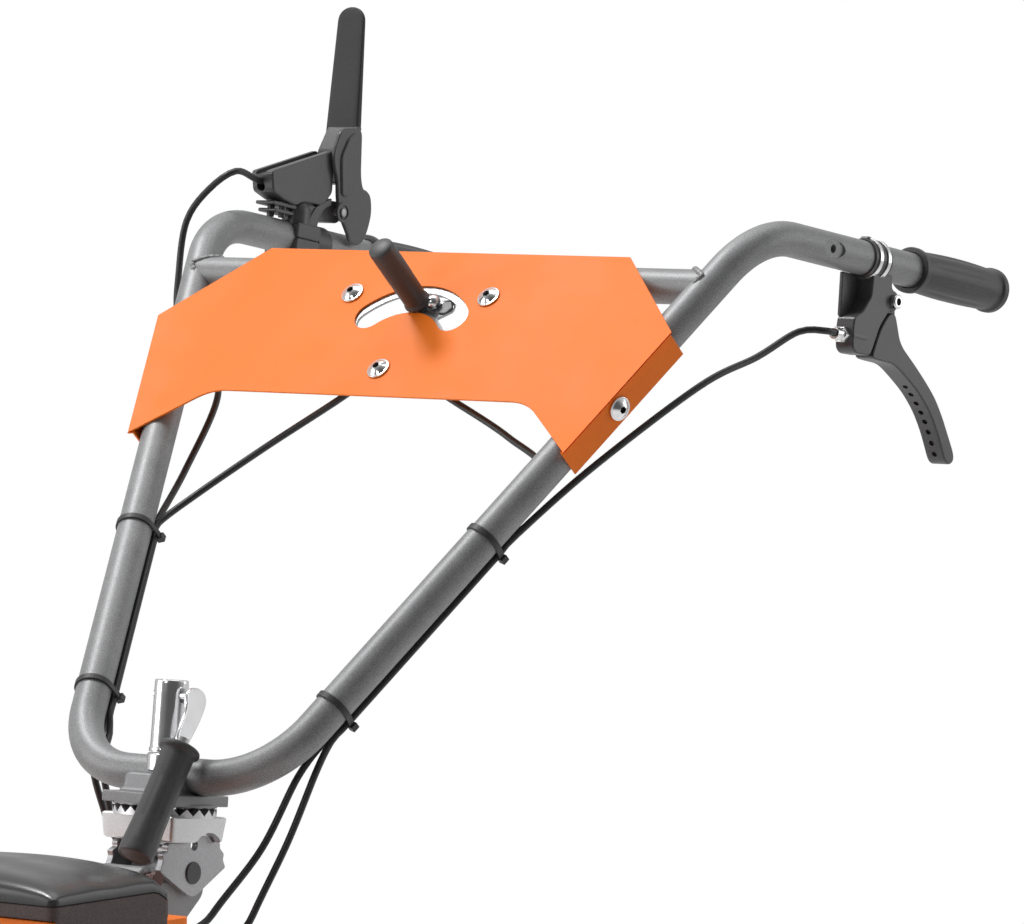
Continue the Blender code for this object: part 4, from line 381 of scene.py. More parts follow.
def skin(name, grid, place=None, close_rows=False, close_ring=True, caps=True, angle=SHARP_ANGLE):
    """A closed skin over a grid (rows, points, 3): rings joined in order, with a flat face on each end."""
    rows, count = grid.shape[:2]
    faces = grid_faces(rows, count, close_rows, close_ring)
    if caps and not close_rows:
        faces += [list(range(count))[::-1], list(range((rows - 1) * count, rows * count))]
    return mesh_piece(name, grid, faces, place, angle)


# %% Turned and swept pieces
def lathe(name, profile, place=None, steps=48, flutes=None):
    """Turns a profile of (radius, height) about Z: x = r cos a, y = r sin a. flutes(a, h) scales r."""
    profile = np.asarray(profile, float)
    a = np.linspace(0, 2 * pi, steps, endpoint=False)[None, :]
    r, h = profile[:, :1], profile[:, 1:]
    if flutes:
        r = r * flutes(a, h)
    grid = ring_at(a, r, h)
    closed = profile[0, 0] > WELD and profile[-1, 0] > WELD
    return skin(name, grid, place, close_rows=closed, caps=False)


def circle(radius, sides=24):
    """Points of a circle, as (x, y)."""
    a = np.linspace(0, 2 * pi, sides, endpoint=False)
    return np.stack([np.cos(a), np.sin(a)], -1) * radius


def ring_at(a, r, z):
    """Points at the angles a, at a radius and a height that may change round the ring."""
    return np.stack([r * np.cos(a), r * np.sin(a), z + 0 * a], -1)


def carried(path):
    """Axes along a path: each is the one before, made square to the path again."""
    tangent = np.gradient(path, axis=0)
    tangent /= np.linalg.norm(tangent, axis=1)[:, None]
    normal = np.cross(tangent[0], (0.31, 0.52, 0.79))
    normals = []
    for along in tangent:
        normal = normal - along * (normal @ along)
        normal = normal / np.linalg.norm(normal)
        normals.append(normal)
    normals = np.array(normals)
    return normals, np.cross(tangent, normals)


def sweep(name, path, section, place=None, scale=1.0, close=False):
    """Carries a section of (x, y) along a path: point = path + scale (x across + y up)."""
    path = np.asarray(path, float)
    across, up = carried(path)
    scale = np.broadcast_to(scale, len(path))[:, None, None]
    x, y = section[None, :, :1], section[None, :, 1:]
    grid = path[:, None] + scale * (x * across[:, None] + y * up[:, None])
    return skin(name, grid, place, close_rows=close)


# %% Outlines pulled up to a thickness
def offset(outline, inward):
    """Moves each side of a closed outline inwards, counter-clockwise points in: a mitre at each corner."""
    before, after = np.roll(outline, 1, 0), np.roll(outline, -1, 0)
    first, second = outline - before, after - outline
    first = np.stack([-first[:, 1], first[:, 0]], -1) / np.linalg.norm(first, axis=1)[:, None]
    second = np.stack([-second[:, 1], second[:, 0]], -1) / np.linalg.norm(second, axis=1)[:, None]
    share = 1 + np.maximum((first * second).sum(1), -0.5)
    return outline + (first + second) / share[:, None] * inward


def slab(name, outline, low, high, edge=0.0008, place=None, steps=4):
    """Pulls an outline up to a slab. Its edges are quarter rounds: inset e(1 - sin t), up e(1 - cos t)."""
    outline = np.asarray(outline, float)
    area = (outline[:, 0] * np.roll(outline[:, 1], -1) - outline[:, 1] * np.roll(outline[:, 0], -1)).sum()
    if area < 0:
        outline = outline[::-1]
    t = np.linspace(0, pi / 2, steps + 1)
    inset = np.concatenate([edge * (1 - np.sin(t)), edge * (1 - np.sin(t[::-1]))])
    height = np.concatenate([low + edge * (1 - np.cos(t)), high - edge * (1 - np.cos(t[::-1]))])
    grid = np.stack([np.concatenate([offset(outline, d), np.full((len(outline), 1), h)], 1)
                     for d, h in zip(inset, height)])
    return skin(name, grid, place)


def rounded(points, radius, steps=5, closed=True):
    """Softens corners: a parabola from a radius before each to a radius after, at most 45% of a side."""
    p = np.asarray(points, float)
    here = p if closed else p[1:-1]
    before = np.roll(p, 1, 0) if closed else p[:-2]
    after = np.roll(p, -1, 0) if closed else p[2:]
    radius = np.broadcast_to(radius, len(here))[:, None]
    to_before, to_after = before - here, after - here
    far_before = np.linalg.norm(to_before, axis=1)[:, None]
    far_after = np.linalg.norm(to_after, axis=1)[:, None]
    start = here + to_before / far_before * np.minimum(radius, far_before * 0.45)
    end = here + to_after / far_after * np.minimum(radius, far_after * 0.45)
    t = np.linspace(0, 1, steps + 1)[None, :, None]
    arcs = (1 - t) ** 2 * start[:, None] + 2 * t * (1 - t) * here[:, None] + t ** 2 * end[:, None]
    arcs = arcs.reshape(-1, p.shape[1])
    return arcs if closed else np.concatenate([p[:1], arcs, p[-1:]])


def mm(*points):
    """Points that are written in millimetres, as drawings are."""
    return np.array(points, float) / 1000


def rectangle(x, y0, y1, corner, steps=5):
    """A rounded rectangle, as wide to the left as to the right."""
    return rounded([(-x, y0), (x, y0), (x, y1), (-x, y1)], corner, steps)


def stacked(name, rows, corner, steps, place):
    """A block with flared sides: rounded rectangles of (height, half x, half y) joined in order."""
    rings = [rectangle(x, -y, y, corner, steps) for _, x, y in rows]
    grid = [np.concatenate([ring, np.full((len(ring), 1), row[0])], 1) for ring, row in zip(rings, rows)]
    return skin(name, np.stack(grid), place)


# %% Arcs and smooth routes
def arc(cx, cy, radius, start, end, steps=12):
    """Points of an arc, from one angle to another in degrees."""
    a = np.radians(np.linspace(start, end, steps + 1))
    return np.stack([cx + radius * np.cos(a), cy + radius * np.sin(a)], -1)


def smooth_route(points, spacing):
    """A Catmull-Rom curve through given points, read about every spacing."""
    p = np.asarray([tuple(q) for q in points], float)
    p = np.concatenate([[2 * p[0] - p[1]], p, [2 * p[-1] - p[-2]]])
    route = []
    for p0, p1, p2, p3 in zip(p, p[1:], p[2:], p[3:]):
        count = max(1, round(float(np.linalg.norm(p2 - p1)) / spacing))
        t = np.linspace(0, 1, count, endpoint=False)[:, None]
        route.append(0.5 * (2 * p1 + (p2 - p0) * t + (2 * p0 - 5 * p1 + 4 * p2 - p3) * t ** 2
                            + (3 * p1 - p0 - 3 * p2 + p3) * t ** 3))
    return np.concatenate(route + [p[-2:-1]])


# %% Cuts and unions
def settled(piece):
    """Replaces a piece's mesh by what its modifiers make of it."""
    graph = bpy.context.evaluated_depsgraph_get()
    mesh = bpy.data.meshes.new_from_object(piece.evaluated_get(graph))
    piece.modifiers.clear()
    piece.data = mesh
    mesh.shade_smooth()
    mesh.set_sharp_from_angle(angle=SHARP_ANGLE)
    return piece


def combined(piece, operation, tools):
    """Runs an exact Boolean with each tool and deletes the tools."""
    for tool in tools:
        step = piece.modifiers.new(operation, "BOOLEAN")
        step.operation = operation
        step.solver = "EXACT"
        step.object = tool
    settled(piece)
    for tool in tools:
        bpy.data.objects.remove(tool, do_unlink=True)
    return piece


def cut(piece, *tools):
    """Takes tools away from a piece."""
    return combined(piece, "DIFFERENCE", tools)


def join(piece, *tools):
    """Adds tools to a piece."""
    return combined(piece, "UNION", tools)


def peg(radius, length, place, sides=32):
    """A plain cylinder along Z, centred on its place, used as a tool."""
    h = length / 2
    return lathe("tool", [(0, -h), (radius, -h), (radius, h), (0, h)], place, sides)


# %% The last step of each piece
def show(piece, finish_name, body, *nodes):
    """Gives a piece its finish, puts it on a body and lets it stand for CAD nodes."""
    piece.data.materials.clear()
    piece.data.materials.append(FINISHES[finish_name].material)
    piece.modifiers.new("flat_faces_stay_flat", "WEIGHTED_NORMAL").keep_sharp = True
    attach(piece, body)
    if nodes:
        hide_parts(*nodes)
    return piece


def at(x, y, z):
    """A 4 by 4 move."""
    return Matrix.Translation((x, y, z))


# %% [markdown]
# ## The bent tube
#
# One steel tube is bent five times into the bar: a U at the foot, two legs that spread as they
# rise, and two handles. It is the piece that the eye follows, so its bends need many rings. The
# tube is a circle carried along a line whose corners are true arcs, as a bending machine makes
# them. A second straight tube is welded between the legs, and the weld is a bead of its own.

# %% The handlebar tube
def bent(corners, radius, step=radians(3.0)):
    """Straight runs with an arc of a radius at each inner corner."""
    points = [Vector(corners[0])]
    for before, here, after in zip(corners, corners[1:], corners[2:]):
        back = (Vector(before) - Vector(here)).normalized()
        on = (Vector(after) - Vector(here)).normalized()
        bend = pi - back.angle(on)
        start = Vector(here) + back * radius * tan(bend / 2)
        centre = Vector(here) + (back + on).normalized() * (radius / cos(bend / 2))
        axis = (-back).cross(on).normalized()
        count = round(bend / step)
        for i in range(count + 1):
            points.append(centre + Matrix.Rotation(bend * i / count, 3, axis) @ (start - centre))
    return np.array([tuple(p) for p in points + [Vector(corners[-1])]])


corners = [RIGHT @ Vector((0, HANDLE_LENGTH, 0)), RIGHT.translation, BASE - Vector((LEG_BASE_X, 0, 0)),
           BASE + Vector((LEG_BASE_X, 0, 0)), LEFT.translation, LEFT @ Vector((0, HANDLE_LENGTH, 0))]
bar_path = bent(corners, BEND_R)
bar = sweep("bent_bar", bar_path, circle(TUBE_R, 48))
FLAT_ALONG, FLAT_TURN, FLAT_DEEP, FLAT_HOLE_R = 0.08, radians(94), 0.002, 0.0034
FLAT = LEFT @ at(0, FLAT_ALONG, 0) @ turned_about("Y", FLAT_TURN)
flat_oval = circle(1, 40) * (0.007, 0.0135)
cut(bar, slab("tool", flat_oval, TUBE_R - FLAT_DEEP, TUBE_R + 0.01, 0.0, FLAT, 1),
    peg(FLAT_HOLE_R, 0.05, FLAT))
show(bar, "grey_powder_coat", "handlebar", "handlebar_tube")
cross_path = [LEGS @ Vector((x * leg_x(CROSS_TUBE_UP), CROSS_TUBE_UP, 0)) for x in (-1, -0.5, 0, 0.5, 1)]
cross = sweep("cross_bar", cross_path,
              circle(TUBE_R, 48))
show(cross, "grey_powder_coat", "handlebar", "cross_tube")

# %% The weld beads
WELD_BEAD_R = 0.0022


def weld_bead(sign):
    """Where the tubes' skins meet: for each angle, the x at which the distance to the leg is its radius."""
    a = np.linspace(0, 2 * pi, 96, endpoint=False)
    leg = np.array([sign * sin(LEG_SLOPE), cos(LEG_SLOPE), 0.0])
    y, z = TUBE_R * np.cos(a), TUBE_R * np.sin(a)
    side = np.sqrt(np.maximum(TUBE_R ** 2 - z ** 2, 0))
    x = (side + sign * y * leg[0]) / cos(LEG_SLOPE)
    ripple = 1 + 0.16 * np.sin(a * 26)
    path = np.stack([sign * (leg_x(CROSS_TUBE_UP) - x), CROSS_TUBE_UP + y, z], -1)
    return sweep(f"weld_bead_{'left' if sign > 0 else 'right'}", path, circle(WELD_BEAD_R, 10), LEGS,
                 ripple, close=True)


for sign in (1, -1):
    show(weld_bead(sign), "grey_powder_coat", "handlebar")

# %% [markdown]
# ## The orange sheet
#
# The panel is laser-cut steel, folded along both sides and along the top, and powder coated. Its
# outline is a flat face with an arched gate in it. The folds are grids: a fold's line carried
# round a quarter circle and then straight back. Solidify would also do for the thickness, and is
# used here, because the inside of a folded sheet is the same surface moved by its thickness.

# %% The outline of the folded panel
SIDE_OUT = FRONT_OUT / cos(LEG_SLOPE)
FOLD_R = 0.0036
FLANGE_DEPTH = 0.0265
TOP_DEPTH = 0.0045
GATE_R, GATE_HALF, GATE_REACH = 0.0552, 0.0135, 47.0
BACK_R, BACK_HALF, BACK_REACH, BACK_TURN = 0.0535, 0.0094, 50.25, radians(1.25)


def fold_x(up):
    """How far a side fold stands from the middle, at a height in the legs' plane."""
    return leg_x(up) + SIDE_OUT


def gate_outline(middle, half, reach):
    """The arched slot: two arcs about the lever's pivot, with round ends."""
    low, high = 90 - reach, 90 + reach
    right = middle * np.array([cos(radians(low)), sin(radians(low))])
    left = middle * np.array([cos(radians(high)), sin(radians(high))])
    return np.concatenate([arc(0, 0, middle + half, low, high, 40),
                           arc(*left, half, high, high + 180, 16)[1:-1],
                           arc(0, 0, middle - half, high, low, 32),
                           arc(*right, half, low - 180, low, 16)[1:-1]])


top, inner = (0.1757, 0.4986), (0.1542, 0.3562)
knee, foot = (fold_x(0.4305), 0.4305), (fold_x(0.3104), 0.3104)
half = np.array([top, knee, foot, inner])
FOLDS = [(knee, foot, FLANGE_DEPTH), ((-foot[0], foot[1]), (-knee[0], knee[1]), FLANGE_DEPTH),
         ((-top[0], top[1]), top, TOP_DEPTH)]
NEAR_FOLD, CORNER_REACH, SEAM_WELD = 1e-4, 1e-3, 5e-5
outline = np.concatenate([half, half[::-1] * (-1, 1)])
ROUND_AT = np.array([0.0, 0.0, 0.0, 0.016])
outline = rounded(outline, np.concatenate([ROUND_AT, ROUND_AT[::-1]]) + 1e-5, 8)


# %% Its face and its three folds
def folded_panel():
    """The face, inset by the fold's radius along three sides, and the folds that run back from it.

    Solidify thickens against the normals, so each face is turned to look out of the front or the side.
    """
    def fold(a, b, depth):
        """From the face's edge, a quarter circle back, then straight to the depth."""
        a, b = Vector((*a, 0)), Vector((*b, 0))
        along = (b - a).normalized()
        out = Vector((along.y, -along.x, 0))
        t = np.linspace(0, pi / 2, 9)
        bend = np.stack([FOLD_R * np.sin(t) - FOLD_R, FOLD_R * np.cos(t) - FOLD_R], -1)
        steps = np.concatenate([bend, [(0, -depth)]])
        line = np.array([tuple(a), tuple(b)])
        grid = line[None] + steps[:, :1, None] * np.array(out) + steps[:, 1:, None] * np.array((0, 0, 1.0))
        return grid + np.array((0, 0, FRONT_OUT))

    inset = outline.copy()
    for a, b, _ in FOLDS:
        a, b = np.array(a), np.array(b)
        long = np.linalg.norm(b - a)
        along = (b - a) / long
        out = np.array([along[1], -along[0]])
        near, reach = (outline - a) @ out, (outline - a) @ along
        on = (np.abs(near) < NEAR_FOLD) & (reach > -CORNER_REACH) & (reach < long + CORNER_REACH)
        inset[on] -= out * FOLD_R
    points = [np.concatenate([inset, np.full((len(inset), 1), FRONT_OUT)], 1)]
    faces = [list(range(len(inset)))]
    for grid in [fold(*row) for row in FOLDS]:
        start = sum(len(p) for p in points)
        points.append(grid.reshape(-1, 3))
        faces += (np.array(grid_faces(grid.shape[0], 2, close_ring=False)) + start).tolist()
    sheet = mesh_piece("folded_panel", np.concatenate(points), faces, None)
    work = bmesh.new()
    work.from_mesh(sheet.data)
    bmesh.ops.remove_doubles(work, verts=work.verts, dist=SEAM_WELD)
    work.normal_update()
    for face in work.faces:
        x, y, _ = face.calc_center_median()
        to_side = Vector((np.sign(x) * cos(LEG_SLOPE), -sin(LEG_SLOPE), 1))
        if face.normal @ (Vector((0, 1, 1)) if y > top[1] - FOLD_R else to_side) < 0:
            face.normal_flip()
    work.to_mesh(sheet.data)
    work.free()
    return sheet


# %% Its thickness and its gate
panel = folded_panel()
wall = panel.modifiers.new("sheet", "SOLIDIFY")
wall.thickness = SHEET
wall.offset = -1.0
settled(panel)
print("panel front", round(max(v.co.z for v in panel.data.vertices) - FRONT_OUT, 5))
panel.data.transform(LEGS)
GATE_SCREWS = [(-0.069, 0.4578), (0.0642, 0.4578), (-0.0024, 0.3827)]
FLANGE_SCREW_UP = 0.3708
FLANGE_SCREWS = [LEGS @ at(s * (leg_x(FLANGE_SCREW_UP) + TUBE_R * cos(LEG_SLOPE)),
                           FLANGE_SCREW_UP - TUBE_R * sin(LEG_SLOPE), 0)
                 @ turned_about("Z", -s * LEG_SLOPE) @ turned_about("Y", s * pi / 2) for s in (1, -1)]
gate_hole = gate_outline(GATE_R, GATE_HALF, GATE_REACH)
cut(panel, slab("tool", gate_hole, -0.02, 0.02, 0.0, LEGS @ at(0, GATE_UP, FRONT_OUT), 1))
rim = panel.modifiers.new("rim", "BEVEL")
rim.width, rim.segments, rim.limit_method, rim.angle_limit = 0.00025, 2, "ANGLE", radians(60)
settled(panel)
show(panel, "orange_powder_coat", "handlebar", "control_panel")

# %% The plate behind the gate
MARGIN = 0.012
GATE_LEFT, GATE_RIGHT, GATE_LOW = GATE_SCREWS
gate_edge = np.concatenate([arc(*GATE_RIGHT, MARGIN, -30, 90, 10), arc(*GATE_LEFT, MARGIN, 90, 210, 10),
                            arc(*GATE_LOW, MARGIN, 215, 325, 10)])
gate_z = FRONT_OUT - SHEET - GAP
gate = slab("gate_back", gate_edge, gate_z - 0.002, gate_z, 0.0003, LEGS)
cut(gate, slab("tool", gate_outline(BACK_R, BACK_HALF, BACK_REACH), -0.01, 0.01, 0.0,
               LEGS @ at(0, GATE_UP, gate_z) @ turned_about("Z", BACK_TURN), 1))
show(gate, "zinc_plate", "handlebar", "gate_plate")

# %% [markdown]
# ## Button screws
#
# Five chrome screws hold the sheet. A button screw is a low dome on a thin flange, with a
# hexagonal socket. The dome is turned from an arc, and the socket is cut, because a six-sided
# hole has edges that a bump can't fake.

# %% Screws
def button_screw(name, place, radius=0.0093, dome=0.005, socket=0.0026):
    """A flange, then a dome whose height falls as 1 - (r / R) squared. The socket is a six-sided cut."""
    top = radius * 0.84
    r = np.linspace(0, top, 10)
    head = np.stack([r, 0.0014 + (dome - 0.0014) * (1 - (r / top) ** 2)], -1)
    rim = rounded([(top, 0.0014), (radius, 0.0012), (radius, 0.0), (0.003, 0.0), (0.003, -0.0105),
                   (0, -0.0105)], 0.0004, 3, closed=False)[1:]
    screw = lathe(name, np.concatenate([head, rim]), place, 48)
    cut(screw, slab("tool", circle(socket * 1.1547, 6), 0.0012, 0.01, 0.0, place, 1))
    return screw


def socket_shade_disc(name, place, depth, socket):
    """Painted shade at the bottom of a socket: a thin near-black six-sided disc."""
    return slab(name, circle(socket * 1.14, 6), depth, depth + 0.0006, 0.0, place, 1)


screw_places = [LEGS @ at(x, up, FRONT_OUT + GAP) for x, up in GATE_SCREWS]
screw_places += [flat @ at(0, 0, SHEET + 2 * GAP) for flat in FLANGE_SCREWS]
for number, place in enumerate(screw_places, 1):
    show(button_screw(f"button_screw_{number}", place), "bright_chrome", "handlebar",
         f"panel_screw_{number}")
    # Each socket holds a near-black disc: painted shade for the bottom of the hole.
    show(socket_shade_disc(f"screw_socket_shade_{number}", place, 0.001, 0.0026), "socket_shade", "handlebar")

# %% [markdown]
# ## The shift lever
#
# A steel rod comes out through the gate and carries a rubber grip with a domed end. At its foot
# it turns on an arm behind the sheet, and a bright ball with a dark washer fills the gate round
# it. Turned profiles make all of them.

# %% Shift lever and its grip
REST, REACH = radians(1.0), 0.05
UPRIGHT = LEGS @ at(0, GATE_UP, ARM_OUT) @ turned_about("Z", -REST)
ROD = UPRIGHT @ at(0, REACH, 0)
arm_shape = np.concatenate([arc(0, 0, 0.009, 180, 360, 14), [(0.009, 0.03), (0.02, 0.042)],
                            arc(0.021, 0.052, 0.0085, -20, 90, 8), arc(0, REACH, 0.009, 60, 180, 10)])
arm = slab("shift_arm", arm_shape, -0.0021, 0.0002, 0.0004, UPRIGHT)
rod_profile = rounded(mm((0, 68), (5, 68), (5, 0), (0, 0)), 0.0008, 3, closed=False)
join(arm, lathe("tool", rod_profile, ROD, 32))
cut(arm, peg(0.0043, 0.02, SHIFT))
show(arm, "zinc_plate", "shift_handle", "shift_lever")
GRIP_R, GRIP_LOW, GRIP_LONG = 0.0101, 0.0074, 0.066
grip_high = GRIP_LOW + GRIP_LONG
cap_angles = np.linspace(0, pi / 2, 12)
cap = np.stack([GRIP_R * 0.98 * np.sin(cap_angles), grip_high - 0.003 + 0.003 * np.cos(cap_angles)], -1)
shift_profile = np.concatenate([cap, rounded([(GRIP_R * 0.98, grip_high - 0.0031),
                                              (GRIP_R * 1.02, grip_high - 0.005),
                                              (GRIP_R * 1.0, grip_high - 0.03),
                                              (GRIP_R * 0.95, GRIP_LOW + 0.006),
                                              (GRIP_R * 0.95, GRIP_LOW + 0.0045),
                                              (GRIP_R * 1.05, GRIP_LOW + 0.0032), (GRIP_R * 1.05, GRIP_LOW),
                                              (0.0053, GRIP_LOW), (0.0053, GRIP_LOW + 0.006)], 0.001, 4,
                                             closed=False)])
shift_sleeve = lathe("shift_sleeve", np.concatenate([shift_profile, [(0.0, GRIP_LOW + 0.006)]]), ROD, 48)
show(shift_sleeve, "soft_rubber", "shift_handle", "shift_grip")
ball = np.linspace(0.0, pi, 22)
BALL = UPRIGHT @ at(0.0115, 0.0535, 0.005)
ball_profile = np.stack([0.0058 * np.sin(ball), 0.0058 * np.cos(ball)], -1)
show(lathe("shift_ball", ball_profile, BALL, 40), "bright_chrome", "shift_handle")
NUT_PLACE = UPRIGHT @ at(0.0225, 0.0515, 0.0003)
show(slab("shift_nut", circle(0.0066, 6), 0.0, 0.0018, 0.0004, NUT_PLACE), "black_cast", "shift_handle")
print("shift grip ends", [round(c, 3) for c in (ROD @ Vector((0, 0, grip_high)))])

# %% Pivot bolt behind the sheet
bolt_profile = rounded(mm((0, 1.9), (4, 1.9), (4, -2.2), (7.8, -2.2), (7.8, -8.5), (0, -8.5)), 0.0006, 3,
                       closed=False)
show(lathe("shift_pivot", bolt_profile, LEGS @ at(0, GATE_UP, FRONT_OUT - 0.0061), 40), "zinc_plate",
     "handlebar", "shift_pivot_bolt")

# %% [markdown]
# ## The grips
#
# The handles end in moulded rubber sleeves: a collar keeps the hand off the clamp, shallow
# flutes run lengthwise, and a bead closes the end. The flutes are a small ripple on the radius of
# a turned profile that fades out at both ends.

# %% Handle grips
SLEEVE_END = HANDLE_LENGTH + GAP + 0.0032
SLEEVE_START = SLEEVE_END - 0.117
FLUTES, FLUTE_DEEP = 9, 0.045


def fluted(a, h):
    """Radius factor: 1 less a groove of the cosine ripple, which fades at both ends of the sleeve."""
    middle = np.clip((h - SLEEVE_START - 0.01) / 0.022, 0, 1)
    middle = middle * np.clip((SLEEVE_END - 0.022 - h) / 0.016, 0, 1)
    return 1 - FLUTE_DEEP * middle ** 0.7 * (0.5 - 0.5 * np.cos(a * FLUTES)) ** 3


t = np.linspace(0, 1, 30)
barrel = np.stack([0.0162 + 0.0017 * np.sin(pi * t) ** 0.8 - 0.0004 * t,
                   SLEEVE_END - 0.0135 + (SLEEVE_START + 0.0078 - SLEEVE_END + 0.0135) * t], -1)
for side, place in HANDLE.items():
    body = rounded([(0, SLEEVE_END), (0.015, SLEEVE_END), (0.0176, SLEEVE_END - 0.003),
                    (0.0178, SLEEVE_END - 0.0085), (0.0157, SLEEVE_END - 0.0105),
                    (0.0159, SLEEVE_END - 0.013)], 0.0012, 4, closed=False)
    collar = rounded([(0.016, SLEEVE_START + 0.007), (0.0178, SLEEVE_START + 0.0058),
                      (0.0181, SLEEVE_START + 0.004), (0.0181, SLEEVE_START), (TUBE_R + GAP, SLEEVE_START),
                      (TUBE_R + GAP, SLEEVE_START + 0.01)], 0.001, 4, closed=False)
    profile = np.concatenate([body, barrel, collar, [(0, SLEEVE_START + 0.01)]])
    show(lathe(f"{side}_sleeve", profile, place @ ALONG_Y, 180, fluted), "soft_rubber", "handlebar",
         f"{side}_grip")

# %% [markdown]
# ## The brake lever
#
# The bracket is cast: a ring round the tube, a side wall that hangs down to the cable's stop, and
# a thin front wall, with an open recess between them. The lever is a curved blade on a pivot
# screw. Side walls and blade are outlines pulled across the handle, softened at every edge. Two
# bright bands show on the tube, and a plated adjuster takes the cable.

# %% Brake bracket
def across(name, points, low, high, edge, place, soft=0.0015):
    """A plate across a handle: outline in (along, up), thickness along X, corners and edges softened."""
    return slab(name, rounded(points, soft, 4), low, high, edge, place @ ACROSS)


def block_across(along, up, low, high, edge, place, soft=0.0015, name="tool"):
    """A rectangular plate across a handle: its two ends along it and its two heights in millimetres."""
    (a0, a1), (u0, u1) = along, up
    return across(name, mm((a0, u0), (a1, u0), (a1, u1), (a0, u1)), low, high, edge, place, soft)


RING_START, RING_END, STOP_DOWN = 0.1325, 0.1545, -0.062
bracket = lathe("brake_casting", rounded([(TUBE_R + GAP, RING_END), (TUBE_R + 0.0018, RING_END),
                                          (TUBE_R + 0.0018, RING_START), (TUBE_R + GAP, RING_START)],
                                         0.0006, 2), LEFT @ ALONG_Y, 64)
web = mm(
    (138, -9), (163, -9), (164.8, -20), (172, -21.5), (176.5, -29), (171.5, -36.5), (164, -36.5),
    (153.5, -50.5), (146.2, -70), (143.5, -74.5), (125.5, -75.2), (120.5, -71.7), (118.5, -57.9),
    (119, -48), (129, -42.2), (138, -29.3))
front = mm((116.6, -13), (146, -13), (146, -44), (127, -49), (119, -47))
join(bracket, across("tool", web, CASTING_X - 0.0085, CASTING_X + 0.0085, 0.0014, LEFT, 0.003),
     across("tool", front, CASTING_X - 0.0085, CASTING_X - 0.0052, 0.0008, LEFT),
     peg(0.0088, 0.017, LEFT @ at(CASTING_X, 0.1285, STOP_DOWN) @ ALONG_Y, 40),
     across("tool", mm((133, 10), (140, 10), (140, 17), (134.5, 17)), -0.0035, 0.0035, 0.0008, LEFT))
hub_room = np.concatenate([arc(BRAKE_ALONG, BRAKE_UP, 0.01, 10, 200, 12),
                           mm((152, -50), (144, -72), (144, -80), (195, -80), (195, -27.5))])
cut(bracket, peg(TUBE_R + GAP, 0.1, LEFT @ at(0, 0.155, 0) @ ALONG_Y, 64),
    slab("tool", hub_room, CASTING_X - 0.0048, CASTING_X + 0.0048, 0.0, LEFT @ ACROSS, 1),
    peg(0.0039, 0.016, LEFT @ at(CASTING_X, 0.124, STOP_DOWN) @ ALONG_Y))
show(bracket, "black_cast", "handlebar", "brake_bracket")
for number, along in enumerate((0.1385, 0.149)):
    band = rounded([(TUBE_R + 0.0016, along + 0.0021), (TUBE_R + 0.003, along + 0.0021),
                    (TUBE_R + 0.003, along - 0.0021), (TUBE_R + 0.0016, along - 0.0021)], 0.0006, 3)
    show(lathe(f"brake_band_{number + 1}", band, LEFT @ ALONG_Y, 64), "bright_chrome", "handlebar")

# %% Brake lever blade
def along_blade(points):
    """Points given along the handle, moved to the lever's own pivot."""
    return points - (BRAKE_ALONG, BRAKE_UP)


hub = np.concatenate([arc(0, 0, 0.0078, 20, 200, 12),
                      along_blade(mm((160.4, -42), (161, -56), (172, -60), (178, -54), (176.5, -38)))])
blade = along_blade(mm(
    (154.5, -52), (165, -38), (172.2, -37.8), (176.5, -46), (183, -60), (205, -73), (222, -84), (237, -95),
    (249, -108), (259, -121), (269, -134), (270, -140), (265, -144), (258, -142), (250, -130), (242, -119),
    (230, -106), (213, -93.5), (194, -84), (177, -76.5), (160, -76.5), (147.6, -76), (147.6, -71.5)))
soft_blade = rounded(blade, 0.01, 5)
lever = slab("brake_blade", soft_blade, -0.0085, 0.0085, 0.0014, BRAKE @ ACROSS, 5)
join(lever, slab("tool", rounded(hub, 0.0008, 2), -0.0045, 0.0045, 0.0004, BRAKE @ ACROSS))
# Eight dimples in the face that the fingers pull, each on a ray from the face's middle line
finger_face = along_blade(mm(
    (206.5, -90.5), (215, -95.2), (223.5, -100.8), (230.8, -107.2), (237, -113.7), (243.2, -121),
    (249, -129), (254.5, -137)))
face_turn = np.gradient(finger_face, axis=0)
face_turn = np.arctan2(face_turn[:, 1], face_turn[:, 0])
cut(lever, *[peg(0.0023, 0.005, BRAKE @ at(0, *spot) @ turned_about("X", angle), 20)
             for spot, angle in zip(finger_face, face_turn)])
show(lever, "black_cast", "brake_handle", "brake_lever")
pivot_profile = rounded(mm((0, 13.2), (4.6, 13.2), (5.6, 12.4), (5.6, 8.8), (3, 8.8), (3, -12), (0, -12)),
                        0.0005, 3, closed=False)
PIN = BRAKE @ ALONG_X
pivot_screw = lathe("brake_pivot", pivot_profile, PIN, 40)
cut(pivot_screw, peg(0.003, 0.004, PIN @ at(0, 0, 0.0132)))
show(pivot_screw, "bright_chrome", "handlebar", "brake_pivot_screw")
# A near-black disc in the pivot screw's socket is painted shade.
show(peg(0.0029, 0.0006, PIN @ at(0, 0, 0.0116)), "socket_shade", "handlebar").name = "brake_socket_shade"

# %% Cable adjuster
ADJUSTER = LEFT @ at(CASTING_X, 0.1245, STOP_DOWN) @ ALONG_Y
barrel = rounded(mm((3.6, 7), (3.6, -5), (5.8, -5), (5.8, -11.2), (4.8, -12), (4.8, -19), (3, -19),
                    (3, -11)), 0.0004, 2, closed=False)
adjuster = lathe("adjuster", np.concatenate([[(0, 0.007)], barrel, [(0, -0.011)]]), ADJUSTER, 40)
join(adjuster, slab("tool", circle(0.0068, 6), -0.0112, -0.0055, 0.0006, ADJUSTER, 3))
show(adjuster, "bright_chrome", "handlebar", "cable_adjuster")

# %% [markdown]
# ## The dead-man lever
#
# The machine runs only while this tall lever is pressed down. Its paddle is a blade that narrows
# upwards, made as a row of rounded sections. Two cheeks carry it on a pin, and the wedge-shaped
# housing below it holds the cable in an open channel.

